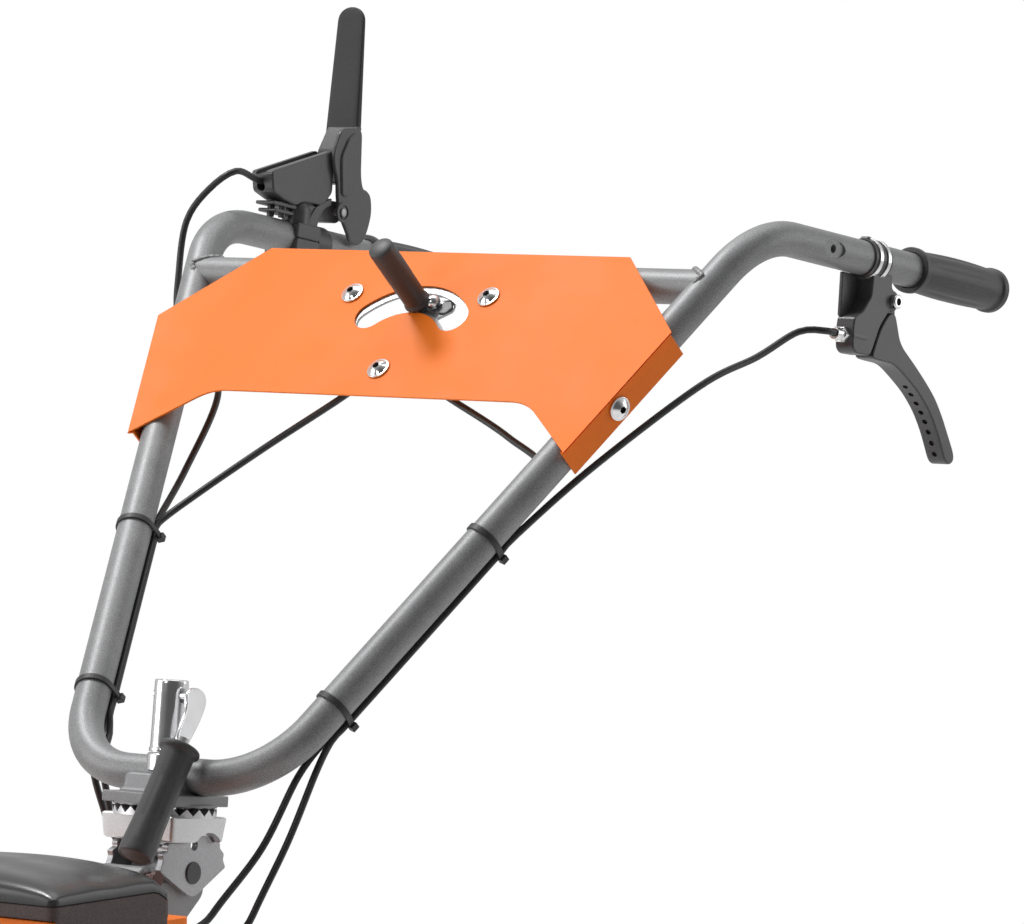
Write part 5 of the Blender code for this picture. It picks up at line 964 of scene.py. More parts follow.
# %% Housing and clamp
wedge = mm(
    (50, 48), (126, 76.5), (129, 63.8), (130.6, 42.5), (120.3, 29.6), (108, 30), (93, 29), (85.8, 25),
    (70, 27.5), (54.5, 32))
housing = across("deadman_casting", wedge, -0.008, 0.014, 0.0014, RIGHT, 0.003)
cable_room = mm((40, 41), (105, 65.5), (126, 73), (126, 95), (40, 95))
cut(housing, slab("tool", cable_room, -0.003, 0.0075, 0.0, RIGHT @ ACROSS, 1),
    peg(0.0042, 0.04, RIGHT @ at(0.001, 0.06, 0.0385) @ turned_about("X", radians(-69))))
t = np.linspace(0, pi / 2, 10)
dome = np.stack([0.0115 * np.sin(t), 0.0215 + 0.0115 * np.cos(t)], -1)
boss_profile = np.concatenate([dome, [(0.0115, 0.0), (0, 0.0)]])
web = mm(
    (103, 8), (104, 18), (110, 27), (120, 33), (130, 38), (130, 32), (122.5, 28), (116.5, 21), (114, 8))
lug = np.concatenate([arc(DEADMAN_ALONG, DEADMAN_UP, 0.009, -90, 90, 14),
                      arc(0.105, 0.026, 0.009, 90, 270, 14)])
join(housing, block_across((88, 118), (-0.1, 12), -0.0165, 0.0165, 0.0012, RIGHT, 0.003),
     block_across((93, 113), (8, 28.5), -0.0017, 0.0133, 0.001, RIGHT, 0.003),
     lathe("tool", boss_profile, RIGHT @ at(0.0045, 0.0985, 0), 40),
     across("tool", web, 0.0023, 0.0146, 0.0008, RIGHT),
     slab("tool", lug, -0.0106, 0.0106, 0.001, RIGHT @ ACROSS),
     block_across((60, 90), (22.5, 25.5), -0.008, 0.011, 0.0005, RIGHT),
     block_across((64, 90), (17, 20), -0.008, 0.01, 0.0005, RIGHT),
     peg(0.003, 0.02, RIGHT @ at(-0.002, 0.073, 0.024)), peg(0.003, 0.02, RIGHT @ at(0.006, 0.078, 0.024)))
cut(housing, peg(TUBE_R + GAP, 0.2, RIGHT @ at(0, 0.12, 0) @ ALONG_Y, 64))
show(housing, "black_cast", "handlebar", "deadman_housing")
cap = block_across((88, 118), (-18, -0.4), -0.0165, 0.0165, 0.0012, RIGHT, 0.003, "deadman_cap")
cap_ring = rounded(mm((12, 137), (14.8, 137), (14.8, 119), (12, 119)), 0.0006, 2)
join(cap, lathe("tool", cap_ring, RIGHT @ ALONG_Y, 64),
     block_across((110, 128), (-15.7, -13.7), -0.007, 0.007, 0.0004, RIGHT, 0.0008))
cut(cap, peg(TUBE_R + GAP, 0.2, RIGHT @ at(0, 0.12, 0) @ ALONG_Y, 64))
show(cap, "black_cast", "handlebar", "deadman_clamp_cap")

# %% Cheeks
cheek = mm(
    (-13, 67), (-20, 46), (-17, 35), (-11, 25), (-8, 9), (-1.5, -4), (9.5, -16), (13, -22), (22.6, -24.8),
    (31, -19.4), (35.6, -9), (38.2, 5.2), (35, 18.5), (28.7, 22.5), (23.2, 22.8), (19, 33), (14.5, 69),
    (8, 71))
far_cheek = mm((-7, -8), (9, -12), (14, 0), (14, 36), (0, 38), (-8, 20))
yoke = mm((1, 24), (13, 24), (13, 36), (1, 36))
foot_of_blade = mm((9, 73), (-2, 50), (-3, 34), (7, 30), (10, 50), (15.5, 73))
rib = mm((-5, 13), (-8, 28), (-11, 44), (-4, 60), (5, 67), (9, 60), (7, 40), (7, 22), (5, 13))
boss_ring = rounded(mm((5.8, 18), (5.8, 19.6), (8.4, 19.6), (8.4, 18)), 0.0004, 2)
lever = slab("deadman_cheeks", rounded(cheek, 0.006, 4), 0.015, 0.0186, 0.0012, DEADMAN @ ACROSS)
join(lever, slab("tool", rounded(far_cheek, 0.005, 4), -0.0186, -0.015, 0.0012, DEADMAN @ ACROSS),
     slab("tool", rounded(yoke, 0.003, 3), -0.017, 0.017, 0.0008, DEADMAN @ ACROSS),
     slab("tool", rounded(foot_of_blade, 0.003, 3), -0.0135, 0.017, 0.001, DEADMAN @ ACROSS),
     slab("tool", rounded(rib, 0.004, 4), 0.0176, 0.0203, 0.0013, DEADMAN @ ACROSS),
     lathe("tool", boss_ring, DEADMAN @ ALONG_X, 40))
show(lever, "black_cast", "deadman_handle", "deadman_lever")


# %% Paddle and pin
def paddle_sections(rows=44, around=48):
    """Rounded rectangles up the blade: it narrows, thins, leans to the front and closes as a circle."""
    low, high = 0.066, 0.171
    z = low + (high - low) * np.sin(np.linspace(0, 1, rows) * pi / 2)
    above = z - 0.07
    to_top = np.clip((high - z) / 0.0125, 0, 1)
    wide = (0.0165 - above * 0.033) * np.sqrt(1 - (1 - to_top) ** 2.4)
    thick = (0.0038 - above * 0.02) * np.clip(np.sqrt(1 - (1 - to_top) ** 3), 0.05, 1)
    middle = 0.0125 - above * 0.052
    a = np.linspace(0, 2 * pi, around, endpoint=False)
    x = np.sign(np.cos(a)) * np.abs(np.cos(a)) ** 0.25
    y = np.sign(np.sin(a)) * np.abs(np.sin(a)) ** 0.5
    return np.stack([wide[:, None] * x, middle[:, None] + thick[:, None] * y, z[:, None] + 0 * a], -1)


paddle = skin("deadman_paddle", paddle_sections(), DEADMAN, angle=radians(50))
show(paddle, "matt_sleeve", "deadman_handle")
pin_profile = rounded(mm((0, 20.1), (2, 20.1), (3.4, 19.7), (3.4, 18.8), (3, 18.8), (3, -18.9),
                         (5.2, -18.9), (5.2, -20.1), (0, -20.1)), 0.0003, 2, closed=False)
show(lathe("deadman_pivot", pin_profile, DEADMAN @ ALONG_X, 32), "zinc_plate", "handlebar", "deadman_pin")

# %% [markdown]
# ## The clamp group
#
# This is the clever part of the bar. The U of the tube lies in a saddle on a plate, and a crown
# of radial teeth under that plate meets another on the cast block below. A tall nut pulls them
# together, turned by a lever that folds down beside it. Loosened, the bar swings to one side and
# drops into other teeth.

# %% Saddle plate and its teeth
TEETH, TEETH_OUTER, TEETH_INNER = 22, 0.0385, 0.023
TOOTH_ROOM, LOWER_TOOTH, UPPER_TOOTH, TOOTH_FOOT = 0.0072, 0.0055, 0.0014, 0.0005
PLATE_TOP = 0.0025 * sin(SWING_LEAN) - TUBE_R - GAP
PLATE_LOW = PLATE_TOP - 0.008
TUBE_Y = 0.0025 * cos(SWING_LEAN)


def crown(name, z, up, tall):
    """A ring of teeth: its height goes up and down round the ring, and the same at every radius."""
    count = TEETH * 2
    a = 2 * pi * np.arange(count) / count
    height = np.where(np.arange(count) % 2 == 1, tall, TOOTH_FOOT) * up
    root = -0.001 * up
    grid = np.stack([ring_at(a, TEETH_INNER, root), ring_at(a, TEETH_INNER, height),
                     ring_at(a, TEETH_OUTER, height), ring_at(a, TEETH_OUTER, root)])
    return skin(name, grid, SWING @ at(0, 0, z), close_rows=True, angle=radians(10))


def brick(name, x, y, low, high, edge, place, corner=0.0015):
    """A rectangle with softened corners, pulled up."""
    return slab(name, rectangle(x, -y, y, corner), low, high, edge, place)


swing_plate = brick("saddle_plate", 0.0355, 0.031, PLATE_LOW, PLATE_TOP, 0.0008, SWING, 0.002)
PAD_ROWS = ((-0.001, 0.029, 0.0235), (0.0012, 0.029, 0.0235), (0.003, 0.0276, 0.0218),
            (0.005, 0.027, 0.021), (0.0105, 0.0268, 0.0206), (0.0128, 0.0262, 0.0198),
            (0.014, 0.0246, 0.0182))
pad_rows = [(z + PLATE_TOP, x, y) for z, x, y in PAD_ROWS]
join(swing_plate, stacked("tool", pad_rows, 0.005, 5, SWING @ at(0, TUBE_Y, 0)))
cut(swing_plate, peg(TUBE_R + GAP, 0.12, BAR @ ALONG_X, 64))
show(swing_plate, "darker_steel_and_shade", "handlebar", "swing_plate")
# The upper crown takes the darker steel, which here is painted shade: its teeth lie in the plate's shadow.
show(crown("upper_crown", PLATE_LOW, -1, UPPER_TOOTH), "darker_steel_and_shade", "handlebar")

# %% Index block and its teeth
BLOCK_TOP = PLATE_LOW - TOOTH_ROOM - GAP
BLOCK_LOW = BLOCK_TOP - 0.019
PIVOT_LOCAL = SWING.inverted() @ joint_place("handlebar_height")
ARCH_Y, ARCH_Z, ARCH_R = 0.008, 0.0125, 0.0175
BLOCK_ROWS = ((BLOCK_LOW, 0.0325, 0.028), (BLOCK_LOW + 0.0012, 0.0338, 0.0293),
              (BLOCK_TOP - 0.0012, 0.0355, 0.031), (BLOCK_TOP, 0.0343, 0.0298))
block = stacked("index_casting", BLOCK_ROWS, 0.0035, 6, SWING)
cut(block, peg(ARCH_R, 0.1, SWING @ at(0, PIVOT_LOCAL.y + ARCH_Y, PIVOT_LOCAL.z + ARCH_Z) @ ALONG_X, 64))
show(block, "blasted_aluminium", "index_group", "index_block")
show(crown("lower_crown", BLOCK_TOP, 1, LOWER_TOOTH), "blasted_aluminium", "index_group")
stud_profile = rounded(mm((0, 49), (5.8, 49), (5.8, -40), (0, -40)), 0.0008, 2, closed=False)
show(lathe("clamp_stud", stud_profile, SWING), "zinc_plate", "index_group")

# %% Serrated side plates
PLATE_IN, PLATE_THICK = 0.0215, 0.0055
plate_edge = 0.001 * np.concatenate([
    arc(10.9, 12.5, 14.6, 139, 42, 14),
    [(29.6, 22.2), (29.3, 18.4), (34.7, 14.2), (33.7, 9.6), (37.1, 4.1), (5.3, -16.6), (0.3, -17.3),
     (-4.8, -16.2), (-37.5, 0.9), (-35.8, 5.0), (-34.1, 9.5), (-35.8, 13.2), (-29.7, 15.9),
     (-30.8, 19.6), (-28.1, 21.8), (-6.0, 22.2)]])
plate_edge = rounded(plate_edge, 0.0016, 3)
SIDE = SWING @ at(0, PIVOT_LOCAL.y, PIVOT_LOCAL.z) @ ACROSS
for number, low in enumerate((PLATE_IN, -PLATE_IN - PLATE_THICK), 1):
    cheek_plate = slab(f"height_plate_{number}", plate_edge, low, low + PLATE_THICK, 0.0005, SIDE)
    cut(cheek_plate, peg(0.0041, 0.2, SIDE @ at(-0.0003, 0.0204, 0)), peg(0.0063, 0.2, SIDE))
    show(cheek_plate, "zinc_plate", "index_group", *(["side_plates"] if number == 1 else []))
spacer_end = PLATE_IN + 0.0005
spacer = rounded([(0, spacer_end), (0.0045, spacer_end), (0.0045, -spacer_end), (0, -spacer_end)], 0.0005,
                 2, closed=False)
show(lathe("plate_spacer", spacer, SIDE @ at(-0.022, 0.0155, 0)), "zinc_plate", "index_group")
side_out = PLATE_IN + PLATE_THICK + GAP
bolt = rounded([(0, side_out + 0.001), (0.0078, side_out + 0.001), (0.0084, side_out + 0.0004),
                (0.0084, side_out), (0.006, side_out), (0.006, -side_out), (0.0085, -side_out),
                (0.0085, -side_out - 0.006), (0, -side_out - 0.006)], 0.0003, 3, closed=False)
show(lathe("height_pivot", bolt, TILT @ ALONG_X, 40), "black_cast", "machine", "height_pivot_bolt")

# %% Nut and shoe
NUT_LOW, NUT_HIGH = 0.0165, 0.07
nut_profile = rounded([(0, NUT_HIGH), (0.0123, NUT_HIGH), (0.0126, NUT_HIGH - 0.002),
                       (0.0134, NUT_LOW + 0.004), (0.0142, NUT_LOW + 0.0025), (0.0142, NUT_LOW),
                       (0.0063, NUT_LOW), (0.0063, NUT_LOW + 0.01), (0, NUT_LOW + 0.01)], 0.0009, 3,
                      closed=False)
nut = lathe("clamp_hub", nut_profile, SWING, 64)
cut(nut, peg(0.0053, 0.06, CLAMP @ ALONG_X))
show(nut, "bright_chrome", "nut", "clamp_nut")
shoe_profile = rounded([(0.0063, NUT_LOW - 0.0006), (0.015, NUT_LOW - 0.0006), (0.0162, NUT_LOW - 0.002),
                        (0.0162, 0.0028), (0.0063, 0.0028)], 0.0008, 3)
washer = lathe("saddle_shoe", shoe_profile, SWING @ at(0, TUBE_Y * 0.5, 0), 64)
cut(washer, peg(TUBE_R + 2 * GAP, 0.12, BAR @ ALONG_X, 64))
show(washer, "bright_chrome", "handlebar", "saddle_washer")

# %% Folding lever
BAR_X, BAR_THICK = 0.0224, 0.0032
HANG, CRANK, OUTWARD = radians(-125.0), radians(-119.0), 0.23
down_bar = np.array([cos(HANG), sin(HANG)])
tail = np.array([cos(CRANK), sin(CRANK)])
tip_at = down_bar * 0.0305 + tail * 0.012
bar_edge = mm(
    (-13.2, -8.5), (-27.5, -25.5), (-30.5, -33.5), (-22.5, -38.5), (-11.6, -31.6), (2.1, -19.0),
    (11.2, -8.8), (14.6, -2.4), (12.6, 3.2), (6.1, 6.4), (-0.6, 6.9), (-8.2, 5.6), (-12.6, 0.0))
lean = Matrix.Identity(4)
lean[2][0], lean[2][1] = OUTWARD * down_bar[0], OUTWARD * down_bar[1]
flat_bar = slab("clamp_bar", rounded(bar_edge, 0.006, 5), -BAR_THICK / 2, BAR_THICK / 2, 0.0012,
                CLAMP @ at(BAR_X, 0, 0) @ ACROSS @ lean)
pin_length = BAR_X + 0.0138
join(flat_bar, peg(0.005, pin_length, CLAMP @ at(BAR_X - pin_length / 2, 0, 0) @ ALONG_X))
grip_x = BAR_X + OUTWARD * float(tip_at @ down_bar)
top_at = tip_at + tail * (GAP + 0.0012)
HANGING = CLAMP @ at(grip_x, *top_at) @ turned_about("X", np.arctan2(tail[1], tail[0]) + pi / 2)
join(flat_bar, peg(0.0045, 0.03, HANGING @ at(0, 0, -0.008)))
show(flat_bar, "bright_chrome", "clamp_handle", "clamp_lever")

# %% Sleeve of the folding lever
CLAMP_GRIP_R, CLAMP_GRIP_END = 0.0128, -0.0915
sleeve_profile = rounded([(0.0048, -0.01), (0.0048, 0.0), (CLAMP_GRIP_R * 1.14, 0.0),
                          (CLAMP_GRIP_R * 1.22, -0.0012), (CLAMP_GRIP_R * 1.22, -0.0036),
                          (CLAMP_GRIP_R * 1.14, -0.0046), (CLAMP_GRIP_R * 1.0, -0.006),
                          (CLAMP_GRIP_R * 0.97, -0.03), (CLAMP_GRIP_R * 1.0, CLAMP_GRIP_END + 0.03),
                          (CLAMP_GRIP_R * 1.05, CLAMP_GRIP_END + 0.01),
                          (CLAMP_GRIP_R * 1.06, CLAMP_GRIP_END + 0.002),
                          (CLAMP_GRIP_R * 1.0, CLAMP_GRIP_END), (CLAMP_GRIP_R * 0.94, CLAMP_GRIP_END)],
                         0.0016, 4, closed=False)
sleeve_profile = np.concatenate([[(0, -0.01)], sleeve_profile,
                                 [(CLAMP_GRIP_R * 0.9, CLAMP_GRIP_END + 0.0005),
                                  (CLAMP_GRIP_R * 0.5, CLAMP_GRIP_END - 0.0004),
                                  (0, CLAMP_GRIP_END - 0.0006)]])


def sleeve_flutes(a, h):
    """Broad shallow flats along the sleeve, faded at both ends."""
    middle = np.clip((-h - 0.009) / 0.01, 0, 1) * np.clip((h - CLAMP_GRIP_END - 0.014) / 0.012, 0, 1)
    return 1 - 0.035 * middle * (0.5 - 0.5 * np.cos(a * 7)) ** 2


show(lathe("clamp_sleeve", sleeve_profile, HANGING, 120, sleeve_flutes), "soft_rubber", "clamp_handle",
     "clamp_lever_grip")

# %% [markdown]
# ## The cables and their ties
#
# Four thin black cables run from the levers down the legs and into the machine. They are held all
# the way, so none hangs free. A smooth curve runs through listed points, which are the same
# as the solids', and a small circle is carried along it. Below the bar the cables bend when the
# bar swings or is set higher, so each lower stretch is made as two pieces, split a little above
# the height joint.

# %% Places along the bar and the machine
CABLE_R, ROUTE_STEP = 0.0027, 0.006
AXLE_Y = joint_place("left_wheel_spin").y
TRAY_Z = 0.252
HOLES_BEHIND = 0.17
LOW_CABLE = {1: (-0.001, -0.0166), -1: (0.0045, -0.016)}
HIGH_CABLE = {1: (0.006, -0.0155), -1: (0.011, -0.0125)}
TIE_HIGH_UP = {1: 0.236, -1: 0.228}
TIE_LOW_UP = 0.073
TO_BAR = BAR.inverted()


def in_plane(x, up, out=0.0):
    """A point across, up and out of the legs' plane, in the bar's own frame."""
    return Vector((x, up * sin(LEG_LEAN) - out * cos(LEG_LEAN), up * cos(LEG_LEAN) + out * sin(LEG_LEAN)))


def on_leg(sign, place, ups):
    """Points beside a leg: lateral is towards +X, out is the plane's normal."""
    lateral, out = place
    aside, down = lateral * cos(LEG_SLOPE), sign * lateral * sin(LEG_SLOPE)
    return [in_plane(sign * leg_x(up) + aside, up - down, out) for up in ups]


def handle_point(side, along, up, x=0.0):
    """A point beside a handle, in the bar's own frame."""
    return TO_BAR @ HANDLE[side] @ Vector((x, along, up))


def tray(x):
    """A point a little above a hole in the tray, and the point in the hole."""
    return [TO_BAR @ Vector((x, AXLE_Y + HOLES_BEHIND, TRAY_Z + z)) for z in (0.03, -0.002)]


def through(*points):
    """Points of a route in the bar's own frame, written in millimetres."""
    return [Vector(point) for point in mm(*points)]


# %% Routes
SHIFT_FOOT = GATE_UP - 0.007
SHIFT_OUT = FRONT_OUT - SHEET - 2 * GAP - 0.002 - 0.004 - CABLE_R - GAP
LOW_UPS = (0.2, 0.14, 0.095, 0.066)
ROUTES = {
    "deadman_cable": (
        [handle_point("right", 0.08, 0.043, 0.001), handle_point("right", 0.05, 0.04, 0.001),
         *through((-262, 393, 435), (-280, 380, 420), (-297, 373, 395), (-301, 368, 355),
                  (-288, 352, 318), (-245, 330, 292), (-200, 296, 262), (-183, 236, 206))],
        on_leg(-1, LOW_CABLE[-1], (0.24, TIE_HIGH_UP[-1], *LOW_UPS)),
        [in_plane(-0.103, 0.045, -0.018), in_plane(-0.096, 0.015, -0.021),
         *through((-91, 36, -45), (-85, 42, -78), (-80, 0, -180)), *tray(-0.075)]),
    "forward_cable": (
        [in_plane(-0.0115, SHIFT_FOOT, SHIFT_OUT), in_plane(-0.05, 0.372, -0.01),
         in_plane(-0.105, 0.33, -0.02), in_plane(-0.146, 0.28, -0.02)],
        on_leg(-1, HIGH_CABLE[-1], (0.24, TIE_HIGH_UP[-1], *LOW_UPS)),
        [in_plane(-0.095, 0.045, -0.017), in_plane(-0.085, 0.015, -0.019),
         *through((-80, 30, -48), (-77, 31, -78), (-68, 0, -180)), *tray(-0.06)]),
    "reverse_cable": (
        [in_plane(0.0115, SHIFT_FOOT, SHIFT_OUT), in_plane(0.06, 0.375, -0.01),
         in_plane(0.12, 0.35, -0.02), in_plane(0.17, 0.318, -0.022)],
        on_leg(1, LOW_CABLE[1], (0.255, TIE_HIGH_UP[1], *LOW_UPS)),
        [*through((97, 32, 2), (82, 8, -50), (70, -34, -95), (64, -68, -135)), *tray(0.06)]),
    "brake_cable": (
        [handle_point("left", 0.1245 - 0.0114, STOP_DOWN, CASTING_X),
         handle_point("left", 0.096, STOP_DOWN, CASTING_X),
         *through((256, 440, 318), (246, 400, 300), (236, 340, 280), (206, 245, 222))],
        on_leg(1, HIGH_CABLE[1], (0.255, TIE_HIGH_UP[1], *LOW_UPS)),
        [*through((107, 41, 6), (94, 24, -45), (83, -3, -97), (78, -26, -140)), *tray(0.075)]),
}

# %% Cables
TILT_POINT = joint_place("handlebar_height")
for name, (start, along, low) in ROUTES.items():
    upper = smooth_route(start + along, ROUTE_STEP)
    show(sweep(name + "_upper", upper, circle(CABLE_R, 14), BAR), "cable_sheath", "handlebar", name)
    turn = (along[-1] - along[-2]).normalized()
    begin = along[-1] + turn * GAP
    route = smooth_route([begin, begin + turn * 0.012] + low, ROUTE_STEP)
    world = route + np.array(BASE)
    middle = int(np.argmin(np.abs(world[:, 2] - (TILT_POINT.z + 0.035))))
    for part, path, ends, bodies in (
            ("_bend_1", route[:middle + 1], (world[0], world[middle]), ("handlebar", "index_group")),
            ("_bend_2", route[middle:], (world[middle], world[-1]), ("index_group", "machine"))):
        piece = sweep(name + part, path, circle(CABLE_R, 14), BAR)
        piece.data.materials.append(FINISHES["cable_sheath"].material)
        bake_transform(piece)
        if part == "_bend_1":
            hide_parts(name + "_lower")
    length = np.linalg.norm(np.diff(np.concatenate([upper, route]), axis=0), axis=1).sum()
    print(name, "is", round(float(length), 3), "m long")

# %% Ties
TIE_WALL = 0.0013


def band_outline(circles, grow):
    """The hull of three circles: a band drawn tight round the leg and its two cables."""
    points = np.concatenate([circle(r + grow, 40) + (x, y) for x, y, r in circles])
    keep = geometry.convex_hull_2d([Vector(p) for p in points])
    return rounded(points[keep], 0.0004, 2)


number = 0
for sign in (1, -1):
    for up in (TIE_HIGH_UP[sign], TIE_LOW_UP):
        number += 1
        circles = [(0, 0, TUBE_R)] + [(p[0], -p[1], CABLE_R) for p in (LOW_CABLE[sign], HIGH_CABLE[sign])]
        place = BAR @ Matrix.Translation(in_plane(sign * leg_x(up), up))
        place = (place @ turned_about("X", pi / 2 - LEG_LEAN) @ turned_about("Z", -sign * LEG_SLOPE)
                 @ turned_about("X", -pi / 2))
        tie = slab(f"tie_{number}", band_outline(circles, GAP + TIE_WALL), -0.0024, 0.0024, 0.0004, place)
        cut(tie, slab("tool", band_outline(circles, GAP), -0.01, 0.01, 0.0, place, 1))
        show(tie, "black_moulding", "handlebar", f"cable_tie_{number}")
        x, y, r = circles[2]
        head = brick(f"tie_head_{number}", 0.003, 0.0027, -0.003, 0.003, 0.0006,
                     place @ at(x + 0.003, y + 0.0036, 0), 0.0008)
        show(head, "black_moulding", "handlebar")

# %% [markdown]
# ## The battery hood and its housing
#
# The hood is a moulded cover with a glossy soft-shouldered top and a textured side, and a seam
# between them that catches the light. Both halves are rings of one rounded rectangle: the side
# is that ring pulled down, and the top is the ring drawn in to its middle while it rises. Towards
# the rear the seam falls away. The housing below is a painted box that is open for the batteries.

# %% Hood: its ring and its top
HOOD_X, HOOD_Y0, HOOD_Y1, SEAM, SKIRT, CROWN = 0.1205, AXLE_Y - 0.0155, AXLE_Y + 0.111, 0.548, 0.515, 0.0195


def box_ring(x, y0, y1, corner, steps=8):
    """A rounded rectangle with extra points along its long sides."""
    ring = rectangle(x, y0, y1, corner, steps)
    longer = [ring[:1]]
    for a, b in zip(ring, np.roll(ring, -1, 0)):
        count = max(1, round(float(np.linalg.norm(b - a)) / 0.006))
        longer.append(a + (b - a) * (np.arange(1, count + 1) / count)[:, None])
    return np.concatenate(longer)[:-1]


def seam_height(y):
    """Level along the side, and falling behind the corner."""
    return SEAM - 0.565 * np.maximum(0, y - 0.0075)


hood_ring = box_ring(HOOD_X, HOOD_Y0, HOOD_Y1, 0.007)
HOOD_MIDDLE = np.array([0, (HOOD_Y0 + HOOD_Y1) / 2])


def hood_top():
    """Height over the seam: crown (1 - u^2)^0.3 (1 - |v|^5)^0.3, with shallow folds that run across."""
    share = 1 - np.linspace(0, 1, 40)[:, None, None] ** 1.6
    flat = HOOD_MIDDLE + (hood_ring - HOOD_MIDDLE)[None] * share
    u = flat[..., 0] / HOOD_X
    v = (flat[..., 1] - HOOD_MIDDLE[1]) / (HOOD_Y1 - HOOD_MIDDLE[1])
    rise = np.clip(1 - u ** 2, 0, 1) ** 0.3 * np.clip(1 - np.abs(v) ** 5, 0, 1) ** 0.3
    folds = 0.0007 * np.sin(v * 9 + u * 4) * rise
    z = seam_height(flat[..., 1]) + 0.0006 + (CROWN - 0.0008) * rise + folds
    top = np.concatenate([flat, z[..., None]], -1)
    seam, spread = seam_height(hood_ring[:, 1]), hood_ring - HOOD_MIDDLE
    low = np.concatenate([HOOD_MIDDLE + spread * 0.985, (seam - 0.0006)[:, None]], 1)
    edge = np.concatenate([hood_ring, (seam - 0.0004)[:, None]], 1)
    inside = np.concatenate([HOOD_MIDDLE + spread * 0.93, (seam + 0.005)[:, None]], 1)
    under = np.concatenate([flat[-1], (z[-1] - 0.003)[:, None]], 1)
    return np.concatenate([under[None], inside[None], low[None], edge[None], top])


# %% Hood: its side
def hood_side():
    """A wall 3 mm thick. Its lower edge is higher at the front and the rear than along the sides."""
    y = hood_ring[:, 1]
    foot = np.where(y < HOOD_Y0 + 0.004, SEAM - 0.011, np.where(y > HOOD_Y1 - 0.004, 0.5275, SKIRT))
    rows = []
    seam = seam_height(y)
    for inset, z in ((0.0008, foot), (0.0, foot + 0.0008), (0.0, seam - 0.0016),
                     (0.0008, seam - 0.0009), (0.003, seam - 0.0009), (0.003, foot)):
        rows.append(np.concatenate([offset(hood_ring, inset), z[:, None]], 1))
    return np.stack(rows)


show(skin("hood_top", hood_top(), close_rows=False, caps=False), "gloss_cover", "hood", "battery_hood")
show(skin("hood_side", hood_side(), close_rows=True), "textured_cover", "hood")

# %% Housing
BODY_X, BODY_Y0, BODY_Y1, LEDGE_Y, LEDGE_Z = 0.117, AXLE_Y - 0.012, AXLE_Y + 0.137, AXLE_Y + 0.107, 0.525
FLOOR_Z, RIM_Z, BAY_Z, BODY_WALL = TRAY_Z + GAP, 0.536, 0.335, 0.003
housing = slab("battery_housing", rectangle(BODY_X, BODY_Y0, BODY_Y1, 0.009, 8), FLOOR_Z, RIM_Z, 0.001)


def room(x, y0, y1, z0, z1, corner=0.006):
    """A block that is cut away from the housing."""
    return slab("tool", rectangle(x, y0, y1, corner, 6), z0, z1, 0.0, None, 1)


cut(housing, room(0.2, LEDGE_Y, LEDGE_Y + 0.2, LEDGE_Z, LEDGE_Z + 0.1, 0.0001),
    room(BODY_X - BODY_WALL, BODY_Y0 + BODY_WALL, LEDGE_Y - BODY_WALL, BAY_Z, RIM_Z + 0.1),
    room(BODY_X - BODY_WALL, BODY_Y0 + BODY_WALL, BODY_Y1 - BODY_WALL, FLOOR_Z - 0.1, BAY_Z - BODY_WALL))
show(housing, "orange_powder_coat", "machine", "body_shell")

# %% [markdown]
# ## The column and the drive
#
# The column is bent box section with a rounded head for the height joint. It is an outline pulled
# across the machine with well-rounded edges. The drive under the tray is a smooth cast case with
# the axle's tubes in its sides, which are turned.

# %% Column and lock pin
PIVOT_Y, PIVOT_Z, LOCK_AHEAD = TILT_POINT.y, TILT_POINT.z, 0.0453
LOCK_POINT = Vector((0, PIVOT_Y - LOCK_AHEAD, PIVOT_Z))
post_y = AXLE_Y + 0.145
post_edge = np.concatenate([arc(PIVOT_Y, PIVOT_Z, 0.0168, 20, 176, 16),
                            [(PIVOT_Y - 0.0188, PIVOT_Z - 0.003), (LOCK_POINT.y + 0.0085, PIVOT_Z - 0.003)],
                            arc(LOCK_POINT.y, PIVOT_Z, 0.0085, 10, 190, 12),
                            [(LOCK_POINT.y - 0.0085, PIVOT_Z - 0.02), (LOCK_POINT.y - 0.03, 0.47),
                             (post_y, 0.42), (post_y, TRAY_Z + GAP), (post_y + 0.045, TRAY_Z + GAP),
                             (post_y + 0.045, 0.43), (PIVOT_Y - 0.0033, PIVOT_Z - 0.0379),
                             (PIVOT_Y + 0.0217, PIVOT_Z - 0.0173)]])
POST_HALF = PLATE_IN - GAP
post = slab("post", rounded(post_edge, 0.008, 5), -POST_HALF, POST_HALF, 0.003, ACROSS)
LOCK_PLACE = Matrix.Translation(LOCK_POINT)
slot_pegs = [peg(0.0043, 0.08, LOCK_PLACE @ at(0, back, 0) @ ALONG_X) for back in (0, 0.0015, 0.003)]
cut(post, peg(0.0063, 0.08, TILT @ ALONG_X), *slot_pegs)
show(post, "grey_powder_coat", "machine", "column")
pin_end = side_out + 0.005
pin_profile = rounded([(0, pin_end), (0.006, pin_end), (0.006, side_out + GAP), (0.004, side_out + GAP),
                       (0.004, -side_out - GAP), (0.006, -side_out - GAP), (0.006, -pin_end),
                       (0, -pin_end)], 0.0008, 3, closed=False)
show(lathe("lock_bar", pin_profile, LOCK_PLACE @ ALONG_X, 32), "red_primer", "lock_pin", "height_lock_pin")

# %% Drive
TRACK_HALF, AXLE_Z, HUB_OUT, BORE_SHORT = 0.185, 0.165, 0.05, 0.0045
AXLE = at(0, AXLE_Y, AXLE_Z)
case_low, case_high = 0.105, TRAY_Z - 0.004 - GAP
case = brick("drive_case", 0.055, 0.07, case_low, case_high, 0.008, at(0, AXLE_Y, 0), 0.014)
tube = rounded(mm((0, 125), (22.5, 125), (22.5, 90), (26, 70), (30, 50), (30, -50), (26, -70), (22.5, -90),
                  (22.5, -125), (0, -125)), 0.002, 3, closed=False)
shaft_end = TRACK_HALF + HUB_OUT - BORE_SHORT - GAP
join(case, lathe("tool", tube, AXLE @ ALONG_X, 64), peg(0.01, 2 * shaft_end, AXLE @ ALONG_X, 40))
show(case, "blasted_aluminium", "machine", "transaxle")

